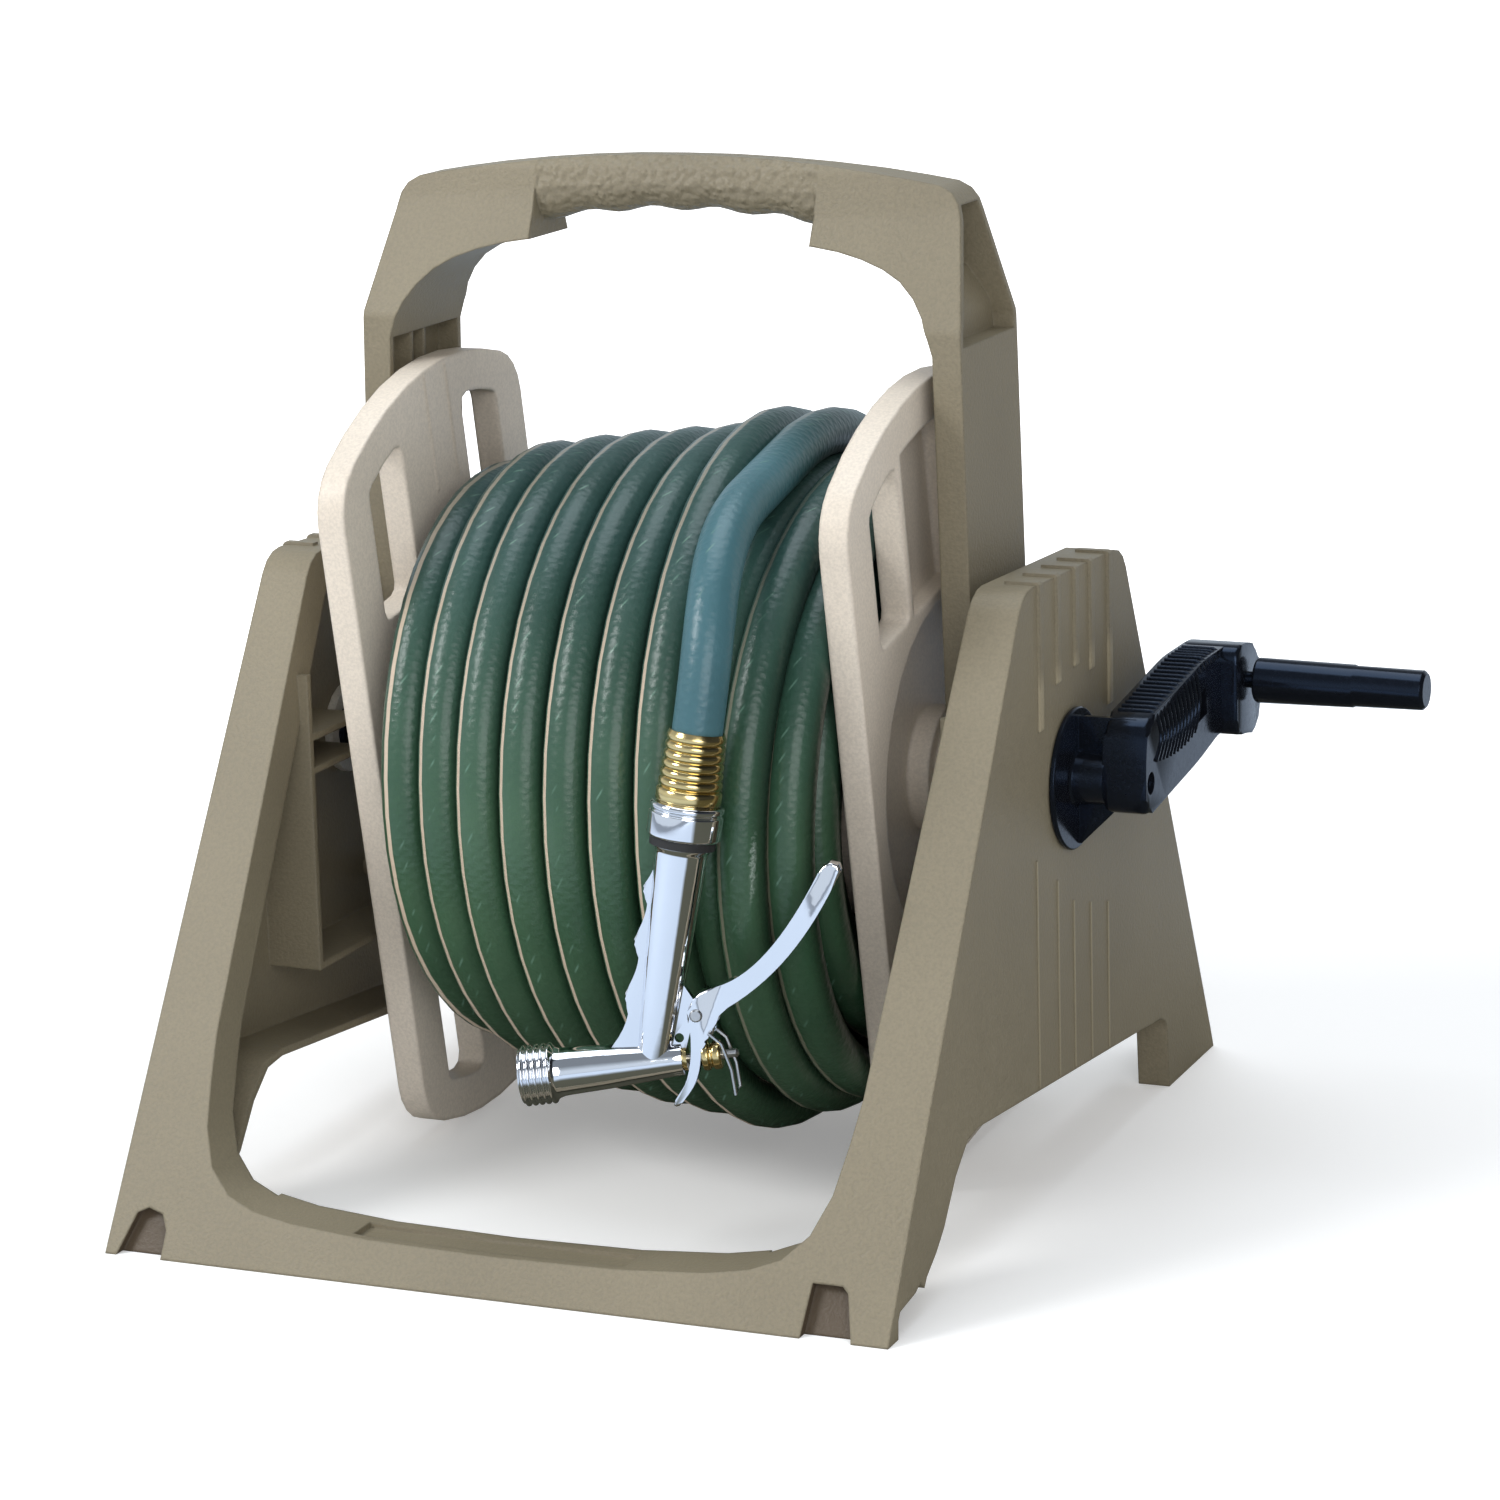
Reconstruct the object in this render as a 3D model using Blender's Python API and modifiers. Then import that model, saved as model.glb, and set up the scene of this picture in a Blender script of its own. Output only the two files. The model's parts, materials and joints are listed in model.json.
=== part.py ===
"""Portable garden hose reel: a leaning two-panel base, a bolted carry handle and a hose reel turned by a crank,
with the wound hose and its trigger nozzle. Sizes are in millimetres, in a frame whose X axis is the reel's own
axis, whose front is -Y and whose floor is Z = 0. X = 0 is the middle of the base."""

import math

import bmesh
import bpy
import numpy as np
from mathutils import Matrix, Vector

MM = 0.001
WELD = 1e-6
GAP = 0.3

CENTRE_X = 56.0
CENTRE_Y = -17.5

HALF = 189.0
FRONT = -247.0
LEAN = 0.6263
TOP = 289.0
TOP_REAR = 284.0
REAR = 212.0
WALL = 3.5
LIP = 24.0
BAR = 27.0
BAR_TOP = 16.0
INNER_FOOT = 154.5
INNER_DRAFT = 0.038

AXIS_Y = -3.0
AXIS_Z = 190.0

HANDLE_TOP = 472.0
HANDLE_CROWN = 12.4
GRIP_HALF = 70.5
GRIP_Y = 6.0
GRIP_WIDE = 13.2
GRIP_DEEP = 15.0
GRIP_LOW = HANDLE_TOP - 25.4
FINGER = 32.3
LEG_THICK = 14.0
LEG_OUT = 150.0
LEG_DRAFT = 0.022
LEG_BEND = HANDLE_TOP - 85.0
LEG_FOOT = 92.0
LEG_FRONT = -34.0
LEG_REAR = 41.0

FLANGE_IN = 116.0
FLANGE_THICK = 14.0
FLANGE_R = 186.5
FLANGE_SIDE = 96.0
FLANGE_CORNER = 28.0
FLANGE_TILT = 11.0
BORDER_R = 167.0
DISH_R = 82.0
JOURNAL_R = 22.2

DRUM_R = 69.5
DRUM_WALL = 3.0

HOSE_R = 11.25
PITCH = 23.2
TURNS = 7
FIRST_CREST = -95.4
SAG = -7.0

CRANK_X = HALF + 3.0
ARM_IN = HALF + 17.0
ARM_OUT = HALF + 38.0
THROW_Y = 131.0
THROW_Z = 21.0
GRIP_LENGTH = 83.0

NOZZLE_TOP = (76.2, -171.0, 241.1)
NOZZLE_FOOT = (57.9, -188.0, 93.5)
OUTLET_WAY = (-0.9504, -0.2725, -0.1473)
BARREL_SLOPE = 15.65
BARREL_Z = 2.7
PIVOT = (16.3, 27.1)
CLIP_EYE = (23.3, 20.6)


def emptied():
    for obj in list(bpy.data.objects):
        bpy.data.objects.remove(obj)
    for group in list(bpy.data.collections):
        bpy.data.collections.remove(group)


def group_named(name):
    group = bpy.data.collections.new(name)
    bpy.context.scene.collection.children.link(group)
    return group


def finish_named(name, colour, roughness, metallic=0.0):
    material = bpy.data.materials.new(name)
    material.use_nodes = True
    shader = material.node_tree.nodes["Principled BSDF"]
    shader.inputs["Base Color"].default_value = (*colour, 1.0)
    shader.inputs["Roughness"].default_value = roughness
    shader.inputs["Metallic"].default_value = metallic
    material.diffuse_color = (*colour, 1.0)
    return material


emptied()
PARTS = group_named("hose_reel")
CUTTERS = group_named("cutters")

TAUPE = finish_named("taupe_plastic", (0.262, 0.223, 0.141), 0.55)
BEIGE = finish_named("beige_plastic", (0.48, 0.41, 0.31), 0.45)
BLACK = finish_named("black_plastic", (0.012, 0.013, 0.017), 0.22)
NATURAL = finish_named("natural_nylon", (0.62, 0.6, 0.54), 0.4)
GREEN = finish_named("hose_vinyl", (0.018, 0.07, 0.05), 0.3)
BRASS = finish_named("brass", (0.72, 0.45, 0.12), 0.25, 1.0)
CHROME = finish_named("chrome", (0.72, 0.73, 0.75), 0.08, 1.0)
STEEL = finish_named("zinc_steel", (0.5, 0.5, 0.5), 0.35, 1.0)
RUBBER = finish_named("black_rubber", (0.02, 0.02, 0.02), 0.7)


def rounded(corners, steps=3):
    """The outline with each corner (x, y, radius) turned into an arc."""
    outline = []
    for i, (x, y, radius) in enumerate(corners):
        here = Vector((x, y))
        if radius <= 0:
            outline.append((x, y))
            continue
        back = (Vector(corners[i - 1][:2]) - here).normalized()
        ahead = (Vector(corners[(i + 1) % len(corners)][:2]) - here).normalized()
        half = back.angle(ahead) / 2
        middle = here + (back + ahead).normalized() * (radius / math.sin(half))
        start = here + back * (radius / math.tan(half)) - middle
        turn = math.pi - 2 * half
        if back.x * ahead.y - back.y * ahead.x > 0:
            turn = -turn
        for k in range(steps + 1):
            angle = turn * k / steps
            spun = Matrix.Rotation(angle, 2) @ start
            outline.append((middle.x + spun.x, middle.y + spun.y))
    return outline


def inset(corners, gaps):
    """The corners of the outline whose side i lies gaps[i] inside the old one."""
    count = len(corners)
    area = sum(
        corners[i - 1][0] * corners[i][1] - corners[i][0] * corners[i - 1][1] for i in range(count)
    )
    sense = 1.0 if area > 0 else -1.0
    lines = []
    for i in range(count):
        a = Vector(corners[i][:2])
        b = Vector(corners[(i + 1) % count][:2])
        along = (b - a).normalized()
        inward = Vector((-along.y, along.x)) * sense
        lines.append((a + inward * gaps[i], along))
    moved = []
    for i in range(count):
        (p, u), (q, v) = lines[i - 1], lines[i]
        cross = u.x * v.y - u.y * v.x
        if abs(cross) < 1e-6:
            point = q
        else:
            point = p + u * (((q - p).x * v.y - (q - p).y * v.x) / cross)
        radius = corners[i][2]
        if radius > 0:
            radius = max(radius - sense * math.copysign(gaps[i], cross), 0.5)
        moved.append((point.x, point.y, radius))
    return moved


def clipped(outline, a, b, c):
    """The part of the outline where a x + b y is at least c."""
    kept = []
    for i, here in enumerate(outline):
        last = outline[i - 1]
        now = a * here[0] + b * here[1] - c
        then = a * last[0] + b * last[1] - c
        if now * then < 0:
            share = then / (then - now)
            kept.append((last[0] + (here[0] - last[0]) * share, last[1] + (here[1] - last[1]) * share))
        if now >= 0:
            kept.append(here)
    return kept


def arc(radius, start, end, steps, centre=(0.0, 0.0)):
    """Points of an arc, with angles in degrees from the +y side toward +x."""
    points = []
    for k in range(steps + 1):
        angle = math.radians(start + (end - start) * k / steps)
        points.append((centre[0] + radius * math.sin(angle), centre[1] + radius * math.cos(angle)))
    return points


def baked(obj):
    graph = bpy.context.evaluated_depsgraph_get()
    mesh = bpy.data.meshes.new_from_object(obj.evaluated_get(graph))
    bpy.data.objects.remove(obj)
    form = bmesh.new()
    form.from_mesh(mesh)
    bmesh.ops.remove_doubles(form, verts=form.verts, dist=WELD)
    bmesh.ops.recalc_face_normals(form, faces=form.faces)
    form.to_mesh(mesh)
    form.free()
    return mesh


def staged(data):
    obj = bpy.data.objects.new("stock", data)
    bpy.context.scene.collection.objects.link(obj)
    return obj


LAYOUTS = {
    "X": Matrix(((0, 0, 1), (1, 0, 0), (0, 1, 0))),
    "Y": Matrix(((1, 0, 0), (0, 0, -1), (0, 1, 0))),
    "Z": Matrix.Identity(3),
}


def prism(outline, low, high, axis, holes=()):
    """A flat outline drawn out from low to high along the axis. For X it is given as (y, z), for Y as (x, z)."""
    curve = bpy.data.curves.new("outline", "CURVE")
    curve.dimensions = "2D"
    curve.fill_mode = "BOTH"
    curve.extrude = (high - low) / 2 * MM
    for loop in (outline, *holes):
        spline = curve.splines.new("POLY")
        spline.points.add(len(loop) - 1)
        for point, (x, y) in zip(spline.points, loop):
            point.co = (x * MM, y * MM, 0.0, 1.0)
        spline.use_cyclic_u = True
    middle = (low + high) / 2 * MM
    if axis == "Y":
        middle = -middle
    mesh = baked(staged(curve))
    mesh.transform(LAYOUTS[axis].to_4x4() @ Matrix.Translation((0, 0, middle)))
    return mesh


TO_AXIS = {
    "X": Matrix.Identity(4),
    "Y": Matrix.Rotation(math.radians(90), 4, "Z"),
    "Z": Matrix.Rotation(math.radians(-90), 4, "Y"),
}


def turned(profile, axis="X", steps=32, at=(0.0, 0.0, 0.0)):
    """A turned piece. The profile holds (position, radius) pairs, closed into a ring unless it ends on the axis."""
    mesh = bpy.data.meshes.new("profile")
    points = [(x * MM, 0.0, r * MM) for x, r in profile]
    edges = [(i, i + 1) for i in range(len(points) - 1)]
    if profile[0][1] > 0:
        edges.append((len(points) - 1, 0))
    mesh.from_pydata(points, edges, [])
    obj = staged(mesh)
    screw = obj.modifiers.new("turn", "SCREW")
    screw.axis = "X"
    screw.steps = steps
    screw.render_steps = steps
    screw.use_merge_vertices = True
    screw.merge_threshold = WELD
    screw.use_smooth_shade = True
    shape = baked(obj)
    shape.transform(Matrix.Translation(Vector(at) * MM) @ TO_AXIS[axis])
    return softened(shape)


def cylinder(radius, low, high, axis="X", steps=24, at=(0.0, 0.0, 0.0)):
    return turned([(low, 0.0), (low, radius), (high, radius), (high, 0.0)], axis, steps, at)


def tube(points, radius, sides=1, cyclic=False):
    """A round bar along the points, given in millimetres."""
    curve = bpy.data.curves.new("path", "CURVE")
    curve.dimensions = "3D"
    curve.bevel_depth = radius * MM
    curve.bevel_resolution = sides
    curve.use_fill_caps = not cyclic
    spline = curve.splines.new("POLY")
    spline.points.add(len(points) - 1)
    for point, place in zip(spline.points, points):
        point.co = (place[0] * MM, place[1] * MM, place[2] * MM, 1.0)
    spline.use_cyclic_u = cyclic
    return softened(baked(staged(curve)))


def softened(mesh, angle=35.0):
    for face in mesh.polygons:
        face.use_smooth = True
    mesh.set_sharp_from_angle(angle=math.radians(angle))
    return mesh


def lofted(sections):
    """A closed body skinned over rings that all hold the same number of (x, y, z) points."""
    form = bmesh.new()
    rings = [[form.verts.new((x * MM, y * MM, z * MM)) for x, y, z in ring] for ring in sections]
    for near, far in zip(rings, rings[1:]):
        for k in range(len(near)):
            form.faces.new((near[k - 1], near[k], far[k], far[k - 1]))
    form.faces.new(rings[0])
    form.faces.new(rings[-1])
    bmesh.ops.recalc_face_normals(form, faces=form.faces)
    mesh = bpy.data.meshes.new("loft")
    form.to_mesh(mesh)
    form.free()
    return softened(mesh)


def flipped(mesh):
    """The mirror image of the mesh across X = 0."""
    mesh.transform(Matrix.Scale(-1, 4, (1, 0, 0)))
    mesh.flip_normals()
    return mesh


def home_named(name, parent, place=(0.0, 0.0, 0.0), turn=None):
    home = bpy.data.objects.new(name, None)
    home.empty_display_size = 0.03
    PARTS.objects.link(home)
    home.parent = parent
    spin = turn.to_4x4() if turn is not None else Matrix.Identity(4)
    home.matrix_local = Matrix.Translation(Vector(place) * MM) @ spin
    return home


def piece(name, mesh, home, material):
    obj = bpy.data.objects.new(name, mesh)
    mesh.name = name
    mesh.materials.clear()
    mesh.materials.append(material)
    PARTS.objects.link(obj)
    obj.parent = home
    return obj


def helper(mesh, home):
    obj = bpy.data.objects.new("helper", mesh)
    obj.display_type = "WIRE"
    obj.hide_render = True
    CUTTERS.objects.link(obj)
    obj.parent = home
    return obj


def combine(target, mesh, operation):
    """Adds a live Boolean to the target. A mesh becomes a helper in the target's own home."""
    other = helper(mesh, target.parent) if isinstance(mesh, bpy.types.Mesh) else mesh
    step = target.modifiers.new(operation.lower(), "BOOLEAN")
    step.operation = operation
    step.solver = "EXACT"
    step.object = other
    return other


def cut(target, mesh):
    return combine(target, mesh, "DIFFERENCE")


def add(target, mesh):
    return combine(target, mesh, "UNION")


def mirrored(obj):
    step = obj.modifiers.new("mirror", "MIRROR")
    step.use_axis = (True, False, False)
    step.use_bisect_axis = (True, False, False)
    step.merge_threshold = 1e-5
    return step


def inner_edge(z):
    return INNER_FOOT + INNER_DRAFT * z


def leg_out(z):
    return LEG_OUT + LEG_DRAFT * (LEG_BEND - z)


ROOT = home_named("hose_reel_root", None, (-CENTRE_X, -CENTRE_Y, 0.0))
REEL = home_named("reel_axis", ROOT, (0.0, AXIS_Y, AXIS_Z))
GRIP = home_named("grip_axis", REEL, (0.0, THROW_Y, THROW_Z))


def nozzle_turn():
    up = (Vector(NOZZLE_TOP) - Vector(NOZZLE_FOOT)).normalized()
    out = Vector(OUTLET_WAY)
    right = -(out - up * out.dot(up)).normalized()
    return Matrix((right, up.cross(right), up)).transposed()


NOZZLE = home_named(
    "nozzle_frame", REEL, Vector(NOZZLE_FOOT) - Vector((0.0, AXIS_Y, AXIS_Z)), nozzle_turn()
)
BARREL = home_named(
    "barrel_axis", NOZZLE, (0.0, 0.0, BARREL_Z), Matrix.Rotation(math.radians(-BARREL_SLOPE), 3, "Y")
)
TRIGGER = home_named("trigger_axis", NOZZLE, (PIVOT[0], 0.0, PIVOT[1]))

SIDE = [
    (FRONT, 0.0, 0.0),
    (FRONT + LEAN * TOP, TOP, 20.0),
    (73.0, TOP_REAR, 20.0),
    (208.0, 9.0, 5.0),
    (REAR, 0.0, 0.0),
    (139.0, 0.0, 0.0),
    (136.0, 34.5, 8.0),
    (126.0, 38.6, 0.0),
    (87.0, 42.4, 0.0),
    (-133.0, 62.6, 0.0),
    (-147.0, 61.0, 0.0),
    (-162.5, 49.5, 0.0),
    (-178.0, 31.0, 0.0),
    (-188.0, 23.0, 0.0),
    (-200.0, 16.0, 0.0),
    (FRONT + BAR + 8.0, 0.0, 0.0),
]
EDGE = [
    (-10.0, BAR_TOP),
    (60.0, 17.0),
    (100.0, 19.5),
    (120.0, 22.5),
    (134.0, 27.5),
    (145.0, 37.5),
    (152.0, 53.0),
    (155.5, 72.0),
]


def behind(outline, distance):
    return clipped(outline, 1.0, -LEAN, FRONT + distance)


def ahead(outline, distance):
    return clipped(outline, -1.0, LEAN, -(FRONT + distance))


def slab(near, far, low=-12.0, high=320.0):
    """The (y, z) section between two planes that lie near and far behind the front face."""
    return [
        (FRONT + near + LEAN * low, low),
        (FRONT + far + LEAN * low, low),
        (FRONT + far + LEAN * high, high),
        (FRONT + near + LEAN * high, high),
    ]


def base_openings(base):
    high = 400.0
    front_opening = EDGE + [(inner_edge(90.0), 90.0), (inner_edge(high), high), (-10.0, high)]
    cut(base, prism(front_opening, -320.0, 320.0, "Y"))
    low_band = [
        (-10.0, -8.0),
        (inner_edge(-8.0), -8.0),
        (inner_edge(96.0), 96.0),
        (-10.0, 96.0),
    ]
    rear = cut(base, prism(low_band, -320.0, 320.0, "Y"))
    combine(rear, prism(slab(BAR, 600.0), -20.0, 200.0, "X"), "INTERSECT")
    cut(base, prism([(134.0, -5.0), (230.0, -5.0), (230.0, 30.0), (134.0, 30.0)], 120.0, HALF - 16.0, "X"))


def base_hollows(base):
    inner = rounded(inset(SIDE, [WALL] * len(SIDE)))
    cut(base, prism(behind(inner, LIP), 120.0, HALF - WALL, "X"))
    corners = [(x, z, 0.0) for x, z in EDGE]
    corners += [(inner_edge(90.0), 90.0, 0.0), (inner_edge(320.0), 320.0, 0.0)]
    corners += [(HALF + 10.0, 320.0, 0.0), (HALF + 10.0, -20.0, 0.0), (-10.0, -20.0, 0.0)]
    sides = [WALL] * (len(EDGE) + 1) + [0.0] * 4
    outline = [c[:2] for c in inset(corners, sides)]
    deeper = rounded(inset(SIDE, [WALL + 0.5] * len(SIDE)))
    leg = clipped(ahead(deeper, LIP + 16.0), 0.0, 1.0, 26.0)
    bar = slab(WALL * 1.32, BAR - WALL * 1.18, -12.0, 34.0)
    for section in (leg, bar):
        hollow = cut(base, prism(section, -20.0, HALF - WALL - 0.5, "X"))
        combine(hollow, prism(outline, -400.0, 100.0, "Y"), "INTERSECT")


def base_feet(base):
    block = [(FRONT + 1.2, 0.0), (FRONT + BAR - 1.0, 0.0), (-206.5, 22.0), (-232.0, 22.0)]
    add(base, prism(block, 144.0, HALF - 1.5, "X"))
    arch = [
        (-235.0, -5.0),
        (-234.3, 8.0),
        (-232.0, 11.5),
        (-214.0, 13.5),
        (-208.0, 15.9),
        (-200.0, 10.0),
        (-200.0, -5.0),
    ]
    cut(base, prism(arch, 158.0, 220.0, "X"))


def base_box(base):
    """The deep box on the inner side of each panel, with its two pairs of shelves."""
    low, high = AXIS_Y - 87.0, AXIS_Y + 87.0
    walls = [(low, 92.0), (high, 92.0), (high, 235.0), (high - WALL, 235.0)]
    for z in (206.0, 190.0):
        walls += [(high - WALL, z), (AXIS_Y + 33.0, z), (AXIS_Y + 33.0, z - 3.0), (high - WALL, z - 3.0)]
    walls += [(high - WALL, 95.5), (low + WALL, 95.5)]
    for z in (187.0, 203.0):
        walls += [(low + WALL, z), (AXIS_Y - 33.0, z), (AXIS_Y - 33.0, z + 3.0), (low + WALL, z + 3.0)]
    walls += [(low + WALL, 235.0), (low, 235.0)]
    add(base, prism(walls, HALF - 31.0, HALF - 1.5, "X"))


SCREW_Z = (116.0, 262.0)
SCREW_Y = 15.0


def base_bosses(base):
    for z in SCREW_Z:
        face = leg_out(z) + 0.35
        add(base, cylinder(6.0, face, HALF - 1.5, "X", 12, (0.0, SCREW_Y, z)))
        cut(base, cylinder(2.3, face - 2.0, HALF - 6.0, "X", 8, (0.0, SCREW_Y, z)))


def base_flutes(base):
    feet = ((-46.0, 221.0), (-22.0, 238.0), (3.0, 241.0), (25.0, 235.0), (51.0, 213.0))
    for y, low in feet:
        crest = TOP + (TOP_REAR - TOP) * (y - FRONT - LEAN * TOP) / (73.0 - FRONT - LEAN * TOP) + 1.4
        hook = rounded(
            [
                (HALF - 15.0, crest - 4.0, 0.0),
                (HALF - 15.0, crest, 0.0),
                (HALF + 1.5, crest, 1.2),
                (HALF + 1.5, low, 1.2),
                (HALF - 1.0, low, 0.0),
                (HALF - 1.0, crest - 4.0, 0.0),
            ],
            1,
        )
        add(base, prism(hook, y - 2.3, y + 2.3, "Y"))


def base_lines(base):
    tops = ((-53.0, 163.0), (-25.0, 147.0), (-3.0, 132.0), (21.0, 125.0), (46.0, 119.0))
    for y, high in tops:
        low = 62.6 + (42.4 - 62.6) * (y + 133.0) / 220.0 + 1.5
        add(base, prism([(y - 0.6, low), (y + 0.6, low), (y + 0.6, high), (y - 0.6, high)], HALF - 1.0, HALF + 0.7, "X"))


def base_scoops(base):
    left = [(-185.5, -6.0), (-177.5, 17.0), (-172.0, 19.5), (-164.5, 17.5), (-161.0, 11.5), (-160.5, -6.0)]
    right = [(148.2, -6.0), (150.2, 20.5), (164.0, 20.5), (167.0, 18.0), (173.8, -6.0)]
    for outline in (left, right):
        scoop = cut(base, prism(outline, -300.0, -200.0, "Y"))
        combine(scoop, prism(slab(-6.0, 6.0, -20.0, 60.0), -220.0, 220.0, "X"), "INTERSECT")


def make_base():
    base = piece("base_frame", prism(rounded(SIDE), -8.0, HALF, "X"), ROOT, TAUPE)
    base_openings(base)
    base_hollows(base)
    base_feet(base)
    base_box(base)
    base_bosses(base)
    base_flutes(base)
    base_lines(base)
    mirrored(base)
    base_scoops(base)
    cut(base, cylinder(12.0, HALF - 19.0, HALF + 11.0, "X", 20, (0.0, AXIS_Y, AXIS_Z)))
    cut(base, cylinder(15.5, -HALF - 11.0, 19.0 - HALF, "X", 20, (0.0, AXIS_Y, AXIS_Z)))
    plaque = [(-70.0, BAR_TOP - 0.9), (62.0, BAR_TOP - 0.9), (62.0, 40.0), (-70.0, 40.0)]
    cut(base, prism(plaque, -232.0, -216.0, "Y"))


HANDLE_SIDE = [
    (LEG_FRONT, LEG_FOOT - 2.0, 0.0),
    (LEG_FRONT, HANDLE_TOP - 74.0, 10.0),
    (-10.0, HANDLE_TOP - 26.0, 0.0),
    (-5.0, HANDLE_TOP - 6.0, 5.0),
    (2.0, HANDLE_TOP + 1.5, 3.0),
    (10.0, HANDLE_TOP + 1.5, 3.0),
    (17.0, HANDLE_TOP - 6.0, 5.0),
    (22.0, HANDLE_TOP - 26.0, 0.0),
    (LEG_REAR, HANDLE_TOP - 74.0, 10.0),
    (LEG_REAR, LEG_FOOT - 2.0, 0.0),
]


def crown_height(x):
    return HANDLE_TOP - HANDLE_CROWN * (x / 138.0) ** 2


def handle_front():
    """Half of the handle seen from the front, as (x, z), with the grip still a plain block."""
    drops = [(149.5, 72.0), (141.6, 25.0), (140.0, 19.0), (136.8, 14.4)]
    outer = [(156.5, LEG_FOOT)] + [(x, HANDLE_TOP - drop) for x, drop in drops]
    crown = [(x, crown_height(x)) for x in (131.0, 116.0, 96.0, 72.0, 48.0, 24.0, -8.0)]
    arch = [
        (-8.0, 38.6),
        (GRIP_HALF + 1.0, 39.0),
        (85.0, 41.0),
        (97.0, 44.0),
        (108.0, 48.0),
        (117.0, 53.0),
        (124.5, 60.0),
        (130.0, 68.0),
        (133.6, 77.0),
    ]
    inner = [(x, HANDLE_TOP - drop) for x, drop in arch]
    return outer + crown + inner + [(136.0, LEG_BEND), (142.5, LEG_FOOT)]


def grip_section(x):
    """The carry grip across the X axis at one place: an oval underside that rises into the crown."""
    low = GRIP_LOW - 5.0 * (x / (2.0 * FINGER)) ** 2 - 1.15 * math.cos(2.0 * math.pi * x / FINGER)
    under = [
        (GRIP_Y + GRIP_WIDE * math.cos(a), low + GRIP_DEEP + GRIP_DEEP * math.sin(a))
        for a in np.radians(np.linspace(180.0, 360.0, 11))
    ]
    high = HANDLE_TOP + 28.0
    top = [(GRIP_Y + GRIP_WIDE + 4.0, high), (GRIP_Y - GRIP_WIDE - 4.0, high)]
    return [(x, y, z) for y, z in under + top]


def handle_grip(handle):
    """Leaves a finger-shaped oval bar between the two shoulders."""
    sections = [grip_section(x) for x in np.arange(-20.0, GRIP_HALF + 8.0, FINGER / 6.0)]
    low, high = HANDLE_TOP - 52.0, HANDLE_TOP + 8.0
    around = [(-60.0, low), (60.0, low), (60.0, high), (-60.0, high)]
    cleared = cut(handle, prism(around, -14.0, GRIP_HALF, "X"))
    cut(cleared, lofted(sections))


def handle_channel(handle):
    low, high = LEG_FOOT + 4.0, LEG_BEND
    channel = [
        (125.0, low),
        (leg_out(low) - WALL, low),
        (leg_out(high) - WALL, high),
        (125.0, high),
    ]
    cut(handle, prism(channel, LEG_FRONT + WALL, LEG_REAR - WALL, "Y"))
    rib = [
        (leg_out(LEG_FOOT) - 13.0, LEG_FOOT + 2.0),
        (leg_out(LEG_FOOT) - 1.5, LEG_FOOT + 2.0),
        (leg_out(high) - 1.5, high + 2.0),
        (leg_out(high) - 13.0, high + 2.0),
    ]
    for y in (-9.0, 4.0):
        add(handle, prism(rib, y - 1.0, y + 1.0, "Y"))


def handle_shoulders(handle):
    drops = [
        (139.3, 81.0),
        (138.5, 67.0),
        (130.0, 51.0),
        (116.0, 43.0),
        (100.0, 38.0),
        (100.0, 19.0),
        (136.0, 20.0),
        (165.0, 20.0),
        (165.0, 81.0),
    ]
    pocket = [(x, HANDLE_TOP - drop) for x, drop in drops]
    scoop = cut(handle, prism(pocket, -60.0, 60.0, "Y"))
    inner = rounded(inset(HANDLE_SIDE, [WALL] * len(HANDLE_SIDE)), 2)
    combine(scoop, prism(inner, 80.0, 170.0, "X"), "INTERSECT")


def handle_hub(handle):
    """Bearing boss and screw pads on the inner side of the leg's outer wall."""
    face = leg_out(AXIS_Z)
    centre = (0.0, AXIS_Y, AXIS_Z)
    for z in SCREW_Z:
        add(handle, cylinder(6.0, leg_out(z) - 6.5, leg_out(z) - 1.2, "X", 12, (0.0, SCREW_Y, z)))
    add(handle, cylinder(30.0, face - LEG_THICK + 0.4, face - 1.2, "X", 28, centre))
    for z in SCREW_Z:
        cut(handle, cylinder(2.5, 130.0, 170.0, "X", 8, (0.0, SCREW_Y, z)))
    cut(handle, cylinder(25.0, 110.0, 180.0, "X", 28, centre))


def make_handle():
    handle = piece("handle", prism(handle_front(), -60.0, 60.0, "Y"), ROOT, TAUPE)
    combine(handle, prism(rounded(HANDLE_SIDE, 3), -20.0, 170.0, "X"), "INTERSECT")
    handle_grip(handle)
    handle_channel(handle)
    handle_shoulders(handle)
    handle_hub(handle)
    mirrored(handle)


def make_handle_screws():
    count = 0
    for side in (1.0, -1.0):
        for z in SCREW_Z:
            count += 1
            head = leg_out(z) - 6.5 - GAP
            profile = [
                (head - 2.6, 0.0),
                (head - 2.6, 3.0),
                (head - 1.4, 4.4),
                (head, 4.4),
                (head, 1.9),
                (head + 24.0, 1.9),
                (head + 27.0, 0.0),
            ]
            mesh = turned(profile, "X", 10, (0.0, SCREW_Y, z))
            cross = [(-0.5, -2.4), (0.5, -2.4), (0.5, 2.4), (-0.5, 2.4)]
            if side < 0:
                mesh = flipped(mesh)
            screw = piece(f"handle_screw_{count}", mesh, ROOT, STEEL)
            spot = sorted((side * (head - 4.0), side * (head - 1.3)))
            cut(screw, prism([(y + SCREW_Y, w + z) for y, w in cross], spot[0], spot[1], "X"))


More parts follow.
